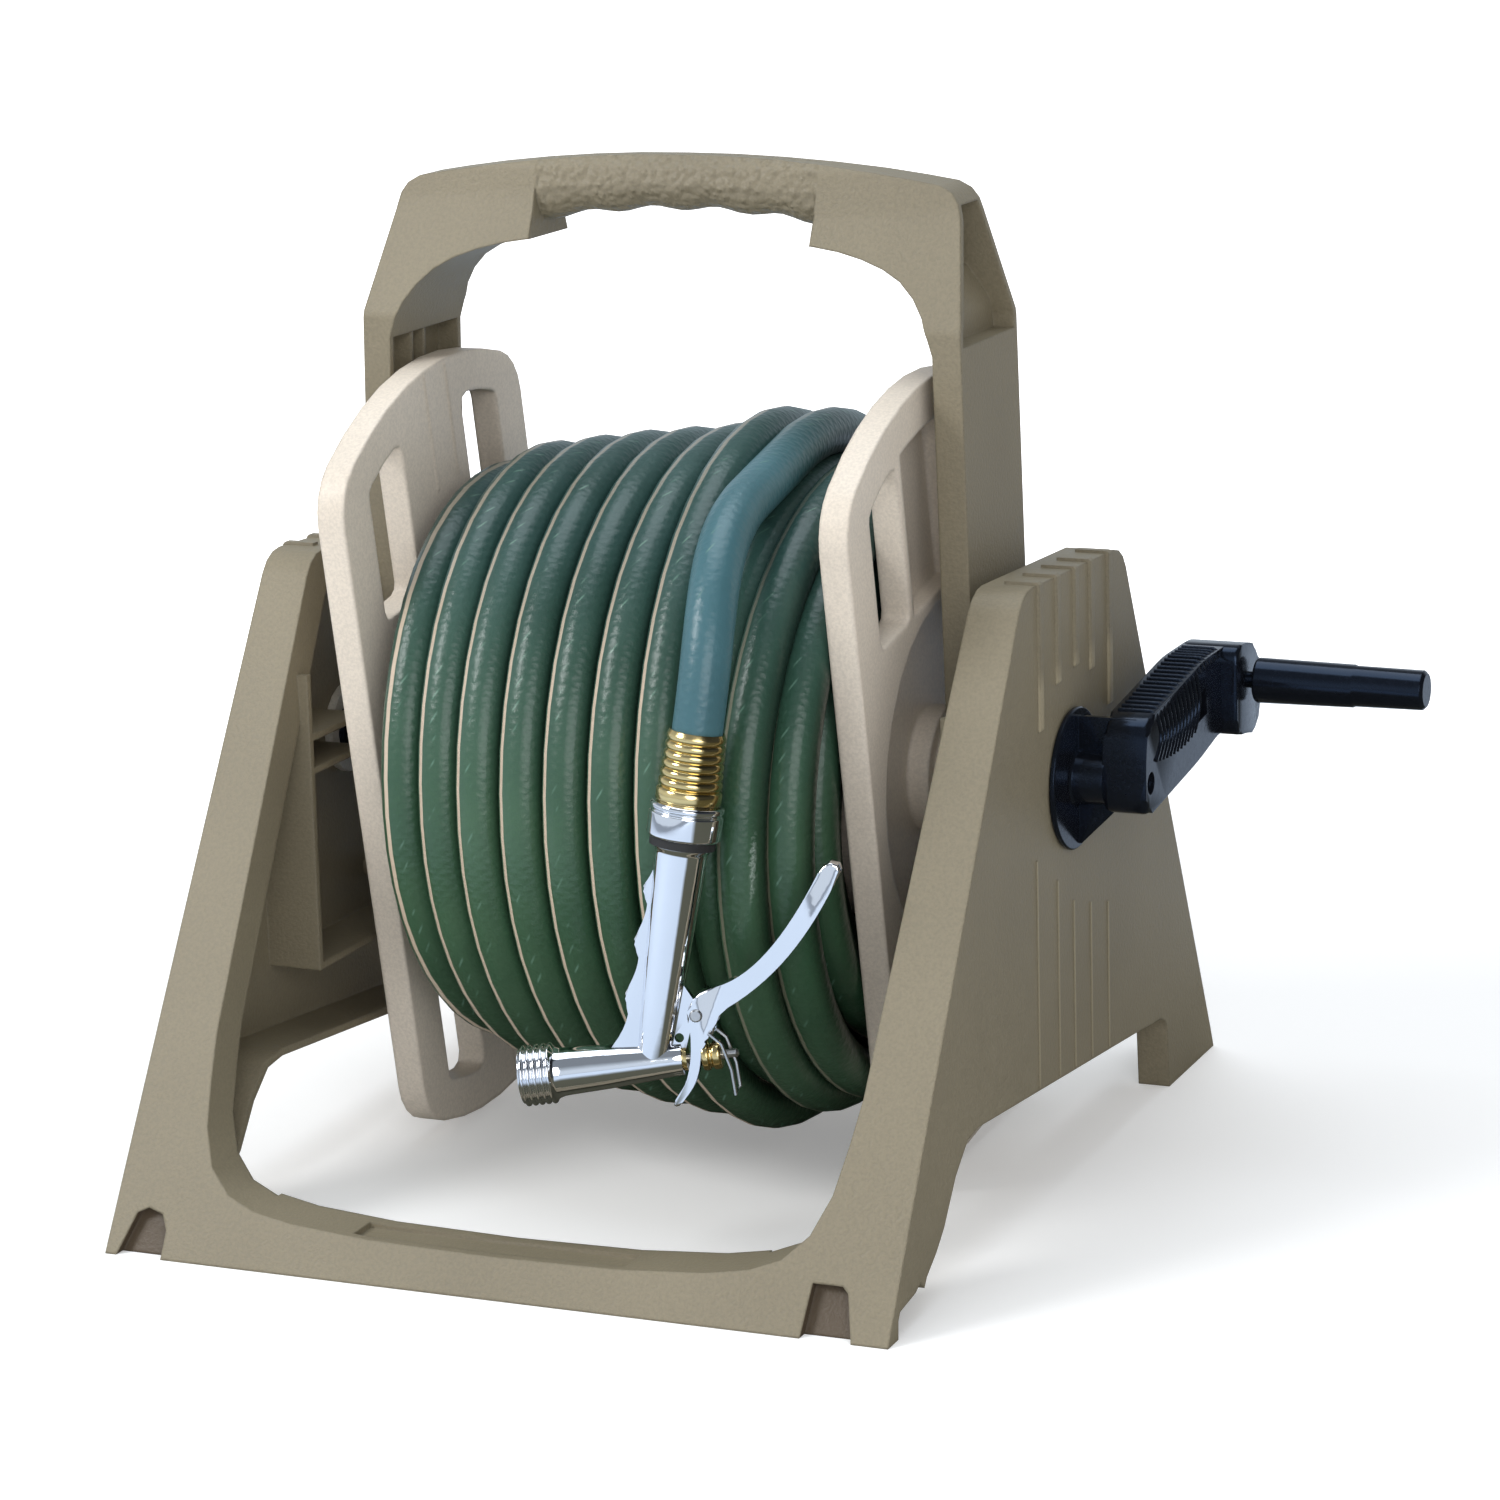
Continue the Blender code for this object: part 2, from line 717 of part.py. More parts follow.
def flange_outline():
    reach = FLANGE_SIDE - FLANGE_CORNER
    height = math.sqrt((FLANGE_R - FLANGE_CORNER) ** 2 - reach**2)
    bend = math.degrees(math.atan2(reach, height))
    top = arc(FLANGE_R, -bend, bend, 8)
    corner = arc(FLANGE_CORNER, bend, 90.0, 4, (reach, height))[1:]
    right = top[4:] + corner
    quarter = [p for p in right if p[0] > 1e-6]
    upper = [(-x, y) for x, y in reversed(quarter)] + [(0.0, FLANGE_R)] + quarter
    return upper + [(-x, -y) for x, y in upper]


def flange_slots():
    """The four through windows, each bounded by a straight inner end and an arc."""
    near, far, low = 32.0, 69.0, 87.0
    middle = (near + far) / 2
    slots = []
    for sx in (1, -1):
        for sy in (1, -1):
            corners = [
                (near, low, 5.0),
                (far, low, 5.0),
                (far, math.sqrt(BORDER_R**2 - far**2), 6.0),
                (middle, math.sqrt(BORDER_R**2 - middle**2), 0.0),
                (near, math.sqrt(BORDER_R**2 - near**2), 6.0),
            ]
            slots.append([(x * sx, y * sy) for x, y in rounded(corners, 2)])
    return slots


def make_flange(name, side):
    tilt = Matrix.Rotation(math.radians(FLANGE_TILT), 4, "X")
    low, high = FLANGE_IN, FLANGE_IN + FLANGE_THICK

    def laid(mesh, tilted=True):
        if tilted:
            mesh.transform(tilt)
        return flipped(mesh) if side < 0 else mesh

    flange = piece(name, laid(prism(flange_outline(), low, high, "X", flange_slots())), REEL, BEIGE)
    for sy in (1, -1):
        band = [(-27.0, 87.0 * sy), (27.0, 87.0 * sy)]
        band += [(x, y * sy) for x, y in arc(BORDER_R, 9.3, -9.3, 4)]
        cut(flange, laid(prism(band, high - 10.0, high + 2.0, "X")))
    cut(flange, laid(cylinder(DISH_R, high - 10.5, high + 2.0, "X", 28)))
    add(flange, laid(cylinder(30.0, low + 1.0, high, "X", 20)))
    add(flange, laid(cylinder(JOURNAL_R, low + 1.0, 157.0, "X", 24)))
    rim = DRUM_R - DRUM_WALL - 2 * GAP
    spigot = [(low - 4.0, rim - 3.4), (low + 1.0, rim - 3.4), (low + 1.0, rim), (low - 4.0, rim)]
    add(flange, laid(turned(spigot, "X", 20)))
    for sy in (1, -1):
        for u in (-2.0, 20.0):
            high_w = math.sqrt(FLANGE_R**2 - u * u) - 2.0
            line = [(u - 0.7, 127.0 * sy), (u + 0.7, 127.0 * sy), (u + 0.7, high_w * sy), (u - 0.7, high_w * sy)]
            add(flange, laid(prism(line, low - 0.8, low + 1.0, "X")))
    if side > 0:
        square = [(-8.3, -8.3), (8.3, -8.3), (8.3, 8.3), (-8.3, 8.3)]
        cut(flange, laid(prism(square, low - 6.0, 160.0, "X"), False))
    else:
        cut(flange, laid(cylinder(14.6, low - 6.0, 160.0, "X", 16)))


def make_drum():
    for name, low, high in (("drum_front_half", 180.0, 360.0), ("drum_rear_half", 0.0, 180.0)):
        ring = arc(DRUM_R, low, high, 20) + arc(DRUM_R - DRUM_WALL, high, low, 20)
        sign = -1.0 if low else 1.0
        ring = [(y if abs(y) > 0.2 else 0.15 * sign, z) for y, z in ring]
        half = piece(name, softened(prism(ring, -(FLANGE_IN - 0.4), FLANGE_IN - 0.4, "X")), REEL, BEIGE)
        if low:
            cut(half, cylinder(13.5, -DRUM_R - 10.5, 19.5 - DRUM_R, "Y", 24, (-55.0, 0.0, 0.0)))


def make_bearings():
    for name, side in (("right_bearing", 1.0), ("left_bearing", -1.0)):
        flat = leg_out(AXIS_Z) - LEG_THICK - GAP
        profile = [
            (flat - 2.0, JOURNAL_R + GAP),
            (flat - 2.0, 28.0),
            (flat, 28.0),
            (flat, JOURNAL_R + 2.5),
            (155.0, JOURNAL_R + 2.5),
            (155.0, JOURNAL_R + GAP),
        ]
        mesh = turned(profile, "X", 24, (0.0, AXIS_Y, AXIS_Z))
        piece(name, flipped(mesh) if side < 0 else mesh, ROOT, NATURAL)


def thread(start, end, crest, root, turns):
    """Points of a ridged outside between two positions."""
    points = []
    step = (end - start) / turns
    for k in range(turns):
        x = start + step * k
        points += [(x, root), (x + step * 0.3, crest), (x + step * 0.6, crest)]
    points.append((end, root))
    return points


def make_inlet():
    axis = (0.0, AXIS_Y, AXIS_Z)
    outside = [(-HALF - 20.0, 7.0)]
    outside += thread(-HALF - 20.0, -HALF - 6.0, 13.3, 12.2, 3)
    outside += [
        (-HALF - 3.9, 12.2),
        (-HALF - 3.9, 19.0),
        (-HALF - GAP, 19.0),
        (-HALF - GAP, 15.0),
        (10.5 - HALF, 15.0),
        (12.0 - HALF, 12.0),
        (-109.2, 12.0),
        (-109.2, 10.4),
        (-106.8, 10.4),
        (-106.8, 12.0),
        (-104.2, 12.0),
        (-104.2, 10.4),
        (-101.8, 10.4),
        (-101.8, 12.0),
        (-98.0, 12.0),
        (-97.0, 11.2),
        (-97.0, 7.0),
    ]
    piece("inlet_tube", turned(outside, "X", 16, axis), ROOT, BLACK)
    near, far = WALL + GAP - HALF, 8.0 - HALF
    ring = [(near, 15.3), (near, 22.0), (far, 22.0), (far, 15.3)]
    piece("inlet_retainer", turned(ring, "X", 20, axis), ROOT, NATURAL)
    for name, x in (("inlet_seal_outer", -108.0), ("inlet_seal_inner", -103.0)):
        seal = arc(0.8, 0.0, 360.0, 6, (x, 11.4))[:-1]
        piece(name, turned(seal, "X", 16, axis), ROOT, RUBBER)


def make_outlet():
    elbow_r = 15.0
    path = [(-90.0, 0.0, 0.0), (-55.0 - elbow_r, 0.0, 0.0)]
    for k in range(1, 7):
        angle = math.radians(15.0 * k)
        path.append((-70.0 + elbow_r * math.sin(angle), -elbow_r + elbow_r * math.cos(angle), 0.0))
    path.append((-55.0, -22.0, 0.0))
    socket = [(-115.6, 0.0), (-115.6, 27.0), (-112.8, 27.0), (-112.8, 16.5), (-84.0, 16.5), (-80.0, 11.0), (-80.0, 0.0)]
    outlet = piece("outlet_elbow", turned(socket, "X", 16), REEL, BLACK)
    add(outlet, tube(path, 11.0, 1))
    nose = [(-19.0, 0.0)] + thread(-19.0, -31.0, 13.3, 12.2, 3) + [(-31.0, 0.0)]
    add(outlet, turned(nose, "Y", 16, (-55.0, 0.0, 0.0)))
    bore = [(-88.0, 0.0, 0.0)] + path[1:-1] + [(-55.0, -36.0, 0.0)]
    cut(outlet, tube(bore, 7.0, 1))
    cut(outlet, cylinder(12.6, -118.0, -86.0, "X", 16))
    sleeve = [
        (-23.0, 13.8),
        (-23.0, 17.2),
        (-33.0, 17.2),
        (-35.0, 14.6),
        (-53.0, 14.6),
        (-53.0, 11.7),
        (-37.0, 11.7),
        (-37.0, 8.0),
        (-33.5, 8.0),
        (-33.5, 13.8),
    ]
    piece("inner_coupling", turned(sleeve, "Y", 16, (-55.0, 0.0, 0.0)), REEL, BRASS)


def front_radius(x):
    return float(np.interp(x, (-95.0, -45.0, 20.0, 50.0, 61.0), (121.0, 140.0, 150.5, 152.0, 161.0)))


def crest_radius(x):
    return float(np.interp(x, (-95.0, -72.0, -26.0, 20.6, 43.8), (130.0, 140.5, 147.0, 152.0, 161.0)))


def wound_point(angle):
    """A point of the outer winding. The angle runs over the top toward the front, from the first crest."""
    x = FIRST_CREST + PITCH * angle / (2 * math.pi)
    rise = max(math.cos(angle), 0.0) ** 2
    radius = front_radius(x) * (1 - rise) + crest_radius(x) * rise
    return Vector((x, -radius * math.sin(angle), SAG + radius * math.cos(angle)))


def make_winding():
    start, end = math.radians(-60.0), math.radians(360.0 * TURNS + 15.0)
    count = int(round((end - start) / (2 * math.pi) * 24))
    turns = [wound_point(start + (end - start) * k / count) for k in range(count + 1)]
    lead = (turns[0] - turns[1]).normalized()
    tail = (turns[-1] - turns[-2]).normalized()
    path = [turns[0] + lead * 2 * HOSE_R] + turns + [turns[-1] + tail * 2 * HOSE_R]
    print(f"least gap between turns {least_gap(path):.2f} mm")
    length = sum((b - a).length for a, b in zip(path, path[1:]))
    print(f"length of the wound outer turns {length:.0f} mm")
    piece("hose_outer_turns", tube(path, HOSE_R), REEL, GREEN)
    return path[-1], tail


def least_gap(path):
    points = np.array([tuple(p) for p in path])
    fine = np.concatenate([points[:-1] + (points[1:] - points[:-1]) * t for t in (0.0, 0.25, 0.5, 0.75)])
    order = np.argsort(np.concatenate([np.arange(len(points) - 1) + t for t in (0.0, 0.25, 0.5, 0.75)]))
    fine = fine[order]
    least = 1e9
    for i in range(0, len(fine) - 60):
        apart = np.linalg.norm(fine[i + 60 :] - fine[i], axis=1).min()
        least = min(least, apart)
    return least - 2 * HOSE_R


def make_loose_end(start, way):
    """The free end, from the last crest down into the ferrule of the nozzle."""
    centre = Vector((0.0, AXIS_Y, AXIS_Z))
    top = Vector(NOZZLE_TOP) - centre
    down = (Vector(NOZZLE_FOOT) - Vector(NOZZLE_TOP)).normalized()
    first = start + way * GAP
    bend = first + way * 2 * HOSE_R
    seat = top + down * 15.2
    meet = top - down * 6.5
    reach = (meet - bend).length * 0.42
    path = [first]
    for k in range(15):
        t = k / 14
        a, b, c, d = (1 - t) ** 3, 3 * t * (1 - t) ** 2, 3 * t * t * (1 - t), t**3
        path.append(bend * a + (bend + way * reach) * b + (meet - down * reach) * c + meet * d)
    path.append(seat)
    piece("hose_loose_end", tube(path, HOSE_R, 2), REEL, GREEN)


def make_core():
    profile = [(-104.0, 0.0), (-104.0, 88.0), (-93.0, 106.5)]
    profile += [(x, front_radius(x - 12.0) - HOSE_R - 0.75) for x in (-80.0, -45.0, 20.0, 50.0)]
    lift = 160.45 - HOSE_R
    profile += [(65.5, lift - 9.6), (66.5, lift), (111.5, lift), (114.8, lift - 7.2), (114.8, 0.0)]
    core = piece("hose_inner_layers", turned(profile, "X", 32, (0.0, 0.0, SAG)), REEL, GREEN)
    cut(core, cylinder(DRUM_R + 3 * GAP, -120.0, 120.0, "X", 32))
    cut(core, cylinder(12.6, -DRUM_R - 15.0, 19.5 - DRUM_R, "Y", 24, (-55.0, 0.0, 0.0)))
    lead = [(-55.0, -37.3, 0.0), (-55.0, -60.0, 0.0), (-55.0, -DRUM_R - 14.5, 0.0)]
    piece("hose_lead_in", tube(lead, HOSE_R, 2), REEL, GREEN)


def make_crank():
    disc = [
        (HALF + GAP, 0.0),
        (HALF + GAP, 32.0),
        (HALF + GAP + 1.0, 33.0),
        (CRANK_X, 33.0),
        (CRANK_X, 12.0),
        (ARM_IN + 1.0, 11.0),
        (ARM_IN + 1.0, 0.0),
    ]
    crank = piece("crank_arm", turned(disc, "X", 28), REEL, BLACK)
    arm = rounded(
        [
            (-7.0, -15.5, 6.0),
            (13.0, -13.0, 6.0),
            (72.0, -6.0, 0.0),
            (107.0, 0.5, 0.0),
            (122.0, -3.0, 0.0),
            (140.0, -7.0, 6.0),
            (150.0, 18.0, 8.0),
            (141.0, 36.0, 8.0),
            (125.0, 41.5, 5.0),
            (83.0, 41.5, 10.0),
            (-2.0, 30.5, 0.0),
            (-7.0, 14.0, 5.0),
        ],
        3,
    )
    add(crank, prism(arm, ARM_IN, ARM_OUT, "X"))
    end_block = rounded(
        [
            (112.0, -4.0, 0.0),
            (122.0, -3.0, 0.0),
            (140.0, -7.0, 6.0),
            (150.0, 18.0, 8.0),
            (141.0, 36.0, 8.0),
            (125.0, 41.5, 5.0),
            (112.0, 41.0, 5.0),
        ],
        3,
    )
    add(crank, prism(end_block, ARM_IN + 1.0, ARM_OUT + 8.0, "X"))
    fin = [(1.0, 0.0), (4.0, 0.0), (4.0, 29.5), (1.0, 29.5)]
    add(crank, prism(fin, CRANK_X - 1.5, ARM_OUT - 6.0, "X"))
    near, far = CRANK_X - 1.0, ARM_IN + 7.0
    gusset = [(near, -31.0), (far, -9.0), (far, 0.0), (near, 0.0)]
    add(crank, prism(gusset, 1.0, 4.0, "Y"))
    add(crank, cylinder(10.5, 160.0, HALF + 1.0, "X", 20))
    square = [(-8.0, -8.0), (8.0, -8.0), (8.0, 8.0), (-8.0, 8.0)]
    add(crank, prism(square, 132.0, 161.0, "X"))
    for k in range(12):
        crank_slot(crank, k)
    window = [(69.0, 14.0), (86.0, 16.0), (84.0, 25.0), (70.0, 22.5)]
    cut(crank, prism(window, ARM_IN - 6.0, ARM_OUT + 13.0, "X"))
    cut(crank, cylinder(2.9, 125.0, ARM_OUT + 13.0, "X", 16))
    cut(crank, cylinder(5.2, ARM_OUT - 8.6, ARM_OUT + 13.0, "X", 20))
    cut(crank, cylinder(4.3, ARM_OUT - 13.0, ARM_OUT + 13.0, "X", 20, (0.0, THROW_Y, THROW_Z)))


def crank_slot(crank, k):
    """One of the slots that leave the cooling-fin ribs along the top of the arm."""
    y = 14.0 + 7.8 * k
    top = 30.5 + 11.0 * min((y + 2.0) / 85.0, 1.0)
    slot = [(y, top - 9.0), (y + 3.6, top - 9.0), (y + 3.6, top + 8.0), (y, top + 8.0)]
    cut(crank, prism(slot, ARM_IN + 3.0, ARM_OUT + 3.0 if y < 108.0 else ARM_OUT - 3.0, "X"))


def make_crank_fixings():
    seat = ARM_OUT - 8.3
    bolt = [(seat, 0.0), (seat, 2.5), (124.0, 2.5), (124.0, 0.0)]
    head = [(seat + 5.3, 0.0), (seat + 5.3, 3.6), (seat + 3.3, 4.7), (seat, 4.7)]
    screw = piece("crank_bolt", turned(head + bolt[1:], "X", 16), REEL, STEEL)
    hexagon = arc(2.2, 0.0, 300.0, 5)
    cut(screw, prism(hexagon, seat + 2.8, seat + 7.3, "X"))
    ring = arc(6.0, 0.0, 300.0, 5)
    nut = prism(ring, 126.0, 131.4, "X", (arc(2.8, 0.0, 345.0, 15),))
    piece("crank_nut", nut, REEL, STEEL)


def make_grip():
    near = ARM_OUT + 11.0
    far = near + GRIP_LENGTH
    outer = [
        (near, 0.0),
        (near, 10.2),
        (near + 1.0, 10.9),
        (far - 35.0, 10.3),
        (far - 34.0, 9.8),
        (far - 1.5, 9.5),
        (far, 8.0),
        (far, 0.0),
    ]
    grip = piece("crank_grip", turned(outer, "X", 24), GRIP, BLACK)
    cut(grip, cylinder(4.4, near - 8.0, far - 9.0, "X", 16))
    cut(grip, cylinder(5.2, far - 16.0, far - 11.7, "X", 16))
    pin = [
        (ARM_OUT - 12.0, 0.0),
        (ARM_OUT - 12.0, 4.0),
        (far - 15.6, 4.0),
        (far - 15.6, 4.9),
        (far - 12.4, 4.4),
        (far - 10.0, 3.0),
        (far - 10.0, 0.0),
    ]
    mesh = turned(pin, "X", 16, (0.0, THROW_Y, THROW_Z))
    piece("grip_pin", mesh, REEL, BLACK)


def make_ferrule():
    outside = [(150.6, 11.7), (150.6, 13.6)]
    rings = 8
    for k in range(rings):
        z = 150.0 - 3.75 * k
        outside += [(z, 14.45), (z - 2.3, 14.45), (z - 3.0, 13.4)]
    outside += [(119.3, 14.2), (119.3, 13.2), (107.4, 13.2), (106.4, 12.3), (106.4, 8.0), (134.0, 8.0), (134.2, 11.7)]
    piece("hose_end_ferrule", turned(outside, "Z", 16), NOZZLE, BRASS)
    washer = [(103.9, 8.2), (103.9, 13.2), (106.1, 13.2), (106.1, 8.2)]
    piece("nozzle_washer", turned(washer, "Z", 16), NOZZLE, RUBBER)


def nozzle_web():
    """The finger grip in front of the handle tube, with its three points."""
    return [
        (0.0, 96.0),
        (-9.5, 96.0),
        (-12.0, 90.0),
        (-14.3, 79.8),
        (-10.6, 74.0),
        (-10.2, 65.0),
        (-15.2, 55.9),
        (-11.0, 50.5),
        (-10.6, 41.0),
        (-16.0, 31.5),
        (-11.5, 26.0),
        (-11.8, 17.0),
        (-19.4, 5.7),
        (-21.0, -2.0),
        (0.0, 0.0),
    ]


def make_nozzle_body():
    handle = [
        (118.8, 0.0),
        (118.8, 15.4),
        (117.6, 16.4),
        (113.0, 16.4),
        (112.4, 15.6),
        (111.2, 15.6),
        (110.6, 16.4),
        (100.4, 16.4),
        (98.8, 14.6),
        (98.2, 10.8),
        (80.0, 10.1),
        (50.0, 9.0),
        (20.0, 7.9),
        (3.0, 7.2),
        (-3.0, 5.2),
        (-5.0, 0.0),
    ]
    body = piece("nozzle_body", turned(handle, "Z", 16), NOZZLE, CHROME)
    add(body, prism(nozzle_web(), -3.2, 3.2, "Y"))
    outside = [(-58.8, 0.0)] + thread(-58.8, -44.0, 13.5, 12.3, 4)
    outside += [(-43.4, 11.2), (-40.5, 10.6), (-20.0, 9.6), (0.0, 8.0), (8.0, 7.3), (13.5, 7.2), (13.5, 0.0)]
    spin = Matrix.Translation((0, 0, BARREL_Z * MM)) @ Matrix.Rotation(math.radians(-BARREL_SLOPE), 4, "Y")
    barrel = turned(outside, "X", 16)
    barrel.transform(spin)
    add(body, barrel)
    lug = [
        (3.0, 45.0),
        (7.3, 40.6),
        (14.5, 32.5),
        (18.4, 30.2),
        (19.6, 27.1),
        (18.4, 24.0),
        (14.6, 21.5),
        (12.2, 14.8),
        (3.0, 4.0),
    ]
    add(body, prism(lug, -2.2, 2.2, "Y"))
    cut(body, cylinder(13.8, 103.5, 125.0, "Z", 16))
    cut(body, cylinder(4.6, BARREL_Z, 110.0, "Z", 12))
    bore = [(-65.0, 0.0), (-65.0, 9.0), (-54.0, 9.0), (-52.0, 3.6), (-48.0, 3.6), (-45.0, 5.3), (20.0, 5.3), (20.0, 0.0)]
    passage = turned(bore, "X", 12)
    passage.transform(spin)
    cut(body, passage)
    cut(body, cylinder(1.9, -5.0, 5.0, "Y", 16, (PIVOT[0], 0.0, PIVOT[1])))
    cut(body, cylinder(2.1, -5.0, 5.0, "Y", 16, (10.1, 0.0, 16.4)))


def make_trigger():
    """The lever, its fork around the pivot lug and the ears that carry the hold-open clip."""
    spine = [(24.0, 38.5), (33.2, 46.5), (45.0, 60.0), (53.0, 74.0), (59.0, 89.0), (65.5, 99.0)]
    halves = (3.6, 3.7, 3.9, 3.9, 3.4, 1.6)
    upper, lower = [], []
    for i, (x, z) in enumerate(spine):
        a = Vector(spine[max(i - 1, 0)])
        b = Vector(spine[min(i + 1, len(spine) - 1)])
        along = (b - a).normalized()
        upper.append((x - along.y * halves[i], z + along.x * halves[i]))
        lower.append((x + along.y * halves[i], z - along.x * halves[i]))
    fork = [
        (24.6, 28.0),
        (24.4, 23.0),
        (25.9, 20.5),
        (24.4, 18.3),
        (21.6, 18.0),
        (19.0, 15.4),
        (20.8, 8.6),
        (20.6, 2.0),
        (20.0, -4.0),
        (14.2, -14.8),
        (11.6, -13.8),
        (16.5, -3.5),
        (17.0, 2.0),
        (17.1, 9.0),
        (15.4, 20.0),
        (12.4, 25.5),
        (12.6, 31.0),
        (16.5, 35.2),
    ]
    tip = (66.8, 101.0)
    outline = upper + [tip] + list(reversed(lower)) + fork
    outline = [(x - PIVOT[0], z - PIVOT[1]) for x, z in outline]
    lever = piece("nozzle_trigger", prism(outline, -5.0, 5.0, "Y"), TRIGGER, CHROME)
    slot = [(8.0, -18.0), (30.0, -18.0), (30.0, 26.0), (21.5, 33.5), (14.0, 35.6), (8.0, 35.6)]
    cut(lever, prism([(x - PIVOT[0], z - PIVOT[1]) for x, z in slot], -2.55, 2.55, "Y"))
    cut(lever, cylinder(1.9, -8.0, 8.0, "Y", 16))
    cut(lever, cylinder(1.2, -8.0, 8.0, "Y", 10, (CLIP_EYE[0] - PIVOT[0], 0.0, CLIP_EYE[1] - PIVOT[1])))
    pin = [(-6.2, 0.0), (-6.2, 2.2), (-5.3, 2.9), (-5.3, 1.6), (6.0, 1.6), (6.0, 0.0)]
    piece("trigger_pin", turned(pin, "Y", 16, (PIVOT[0], 0.0, PIVOT[1])), NOZZLE, STEEL)


def make_clip():
    run = [CLIP_EYE, (29.4, 17.0), (35.3, 6.5), (38.5, -3.9)]
    home = home_named("clip_axis", TRIGGER, (CLIP_EYE[0] - PIVOT[0], 0.0, CLIP_EYE[1] - PIVOT[1]))
    path = [(0.0, 3.2, 0.0)]
    path += [(x - CLIP_EYE[0], 7.6, z - CLIP_EYE[1]) for x, z in run]
    path += [(x - CLIP_EYE[0], -7.6, z - CLIP_EYE[1]) for x, z in reversed(run)]
    path += [(0.0, -3.2, 0.0)]
    piece("hold_open_clip", tube(path, 0.8, 1), home, STEEL)


def make_valve():
    rod = [
        (-47.3, 0.0),
        (-47.3, 3.3),
        (-45.8, 4.6),
        (-43.0, 4.6),
        (-43.0, 2.0),
        (37.0, 2.0),
        (38.0, 1.2),
        (38.0, 0.0),
    ]
    piece("valve_rod", turned(rod, "X", 12), BARREL, STEEL)
    gland = [(6.5, 2.3), (6.5, 5.0), (13.8, 5.0), (13.8, 5.6), (15.4, 5.6), (15.4, 2.3)]
    piece("gland_nut", turned(gland, "X", 16), BARREL, BRASS)
    nut = [
        (22.0, 2.3),
        (22.0, 5.6),
        (22.8, 6.3),
        (25.0, 6.3),
        (25.6, 5.4),
        (26.4, 5.4),
        (27.0, 6.3),
        (29.7, 6.3),
        (30.5, 5.6),
        (30.5, 2.3),
    ]
    piece("flow_nut", turned(nut, "X", 18), BARREL, BRASS)
    turns, start, end = 5, -42.0, -1.5
    path = []
    for k in range(turns * 9 + 1):
        angle = math.radians(40.0 * k)
        share = k / (turns * 9)
        path.append((start + (end - start) * share, 3.7 * math.cos(angle), 3.7 * math.sin(angle)))
    piece("valve_spring", tube(path, 0.55, 1), BARREL, STEEL)


def make_all():
    make_base()
    make_handle()
    make_handle_screws()
    make_bearings()
    make_inlet()
    make_flange("left_flange", -1.0)
    make_flange("right_flange", 1.0)
    make_drum()
    make_outlet()
    make_core()
    end, way = make_winding()
    make_loose_end(end, way)
    make_crank()
    make_crank_fixings()
    make_grip()
    make_ferrule()
    make_nozzle_body()
    make_trigger()
    make_clip()
    make_valve()


make_all()
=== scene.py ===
"""The looks of the hose reel cart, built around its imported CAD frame.

Places are in metres in the frame. The hose, the nozzle and the crank are measured in millimetres, and MM
turns those into metres.
"""

import json
import math

import bmesh
import bpy
import numpy as np
from mathutils import Matrix, Vector


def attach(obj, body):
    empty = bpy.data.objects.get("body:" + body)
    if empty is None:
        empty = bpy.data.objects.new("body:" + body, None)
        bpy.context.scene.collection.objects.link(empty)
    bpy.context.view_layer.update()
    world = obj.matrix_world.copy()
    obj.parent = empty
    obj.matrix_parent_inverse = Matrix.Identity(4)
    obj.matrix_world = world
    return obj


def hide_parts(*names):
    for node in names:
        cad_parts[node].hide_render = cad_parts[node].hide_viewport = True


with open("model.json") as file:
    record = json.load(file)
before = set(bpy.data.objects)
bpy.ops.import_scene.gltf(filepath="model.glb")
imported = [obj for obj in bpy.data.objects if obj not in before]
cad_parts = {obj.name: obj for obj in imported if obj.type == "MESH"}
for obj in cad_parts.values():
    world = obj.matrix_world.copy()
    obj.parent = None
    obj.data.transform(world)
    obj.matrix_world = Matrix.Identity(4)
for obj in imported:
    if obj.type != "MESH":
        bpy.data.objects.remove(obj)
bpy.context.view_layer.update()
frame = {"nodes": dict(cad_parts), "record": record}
SCENE = bpy.context.scene
NODES = frame["nodes"]
MM = 0.001

# The camera's angles in degrees, its place, and its lens
CAMERA_AROUND, CAMERA_ABOVE, CAMERA_ROLL = 23.04196, 12.04396, -1.49897
CAMERA_AT = (0.8133, -1.9534, 0.6960)
CAMERA_LENS, CAMERA_SENSOR = 111.965, 36.0
CAMERA_SHIFT = (-0.00237, -0.0654)
CAMERA_REACH = 50.0

# Where the middle of the base and the reel's axis lie in the frame
BASE_MIDDLE = Vector((-0.056, 0.0175, 0.0))
AXIS = Vector((-0.056, 0.0145, 0.19))

# The base in millimetres: half its width, its front edge on the floor, and its front's lean back with height
HALF = 189.0
FRONT, LEAN = -247.0, 0.6263

# The line of the nozzle's handle in millimetres from the middle of the base, and the way its outlet points
NOZZLE_FOOT = Vector((57.9, -188.0, 93.5))
NOZZLE_TOP = Vector((76.2, -171.0, 241.1))
OUTLET_WAY = Vector((-0.9504, -0.2725, -0.1473))

# The hose and its outer layer: radius, distance between turns, number of turns, where the first one passes
# over the top, how far the winding hangs below the axis, and the angles between which the layer runs
HOSE_R = 11.25
PITCH = 23.2
TURNS = 7
FIRST_CREST = -95.4
SAG = -7.0
FIRST = math.radians(-60.0)
LAST = math.radians(360.0 * TURNS + 15.0)

# How far the outer layer lies from the axis, in front and over the top, at places along the axis
FRONT_RADII = ((-95.0, -45.0, 20.0, 50.0, 61.0), (121.0, 140.0, 150.5, 152.0, 161.0))
CREST_RADII = ((-95.0, -72.0, -26.0, 20.6, 43.8), (130.0, 140.5, 147.0, 152.0, 161.0))

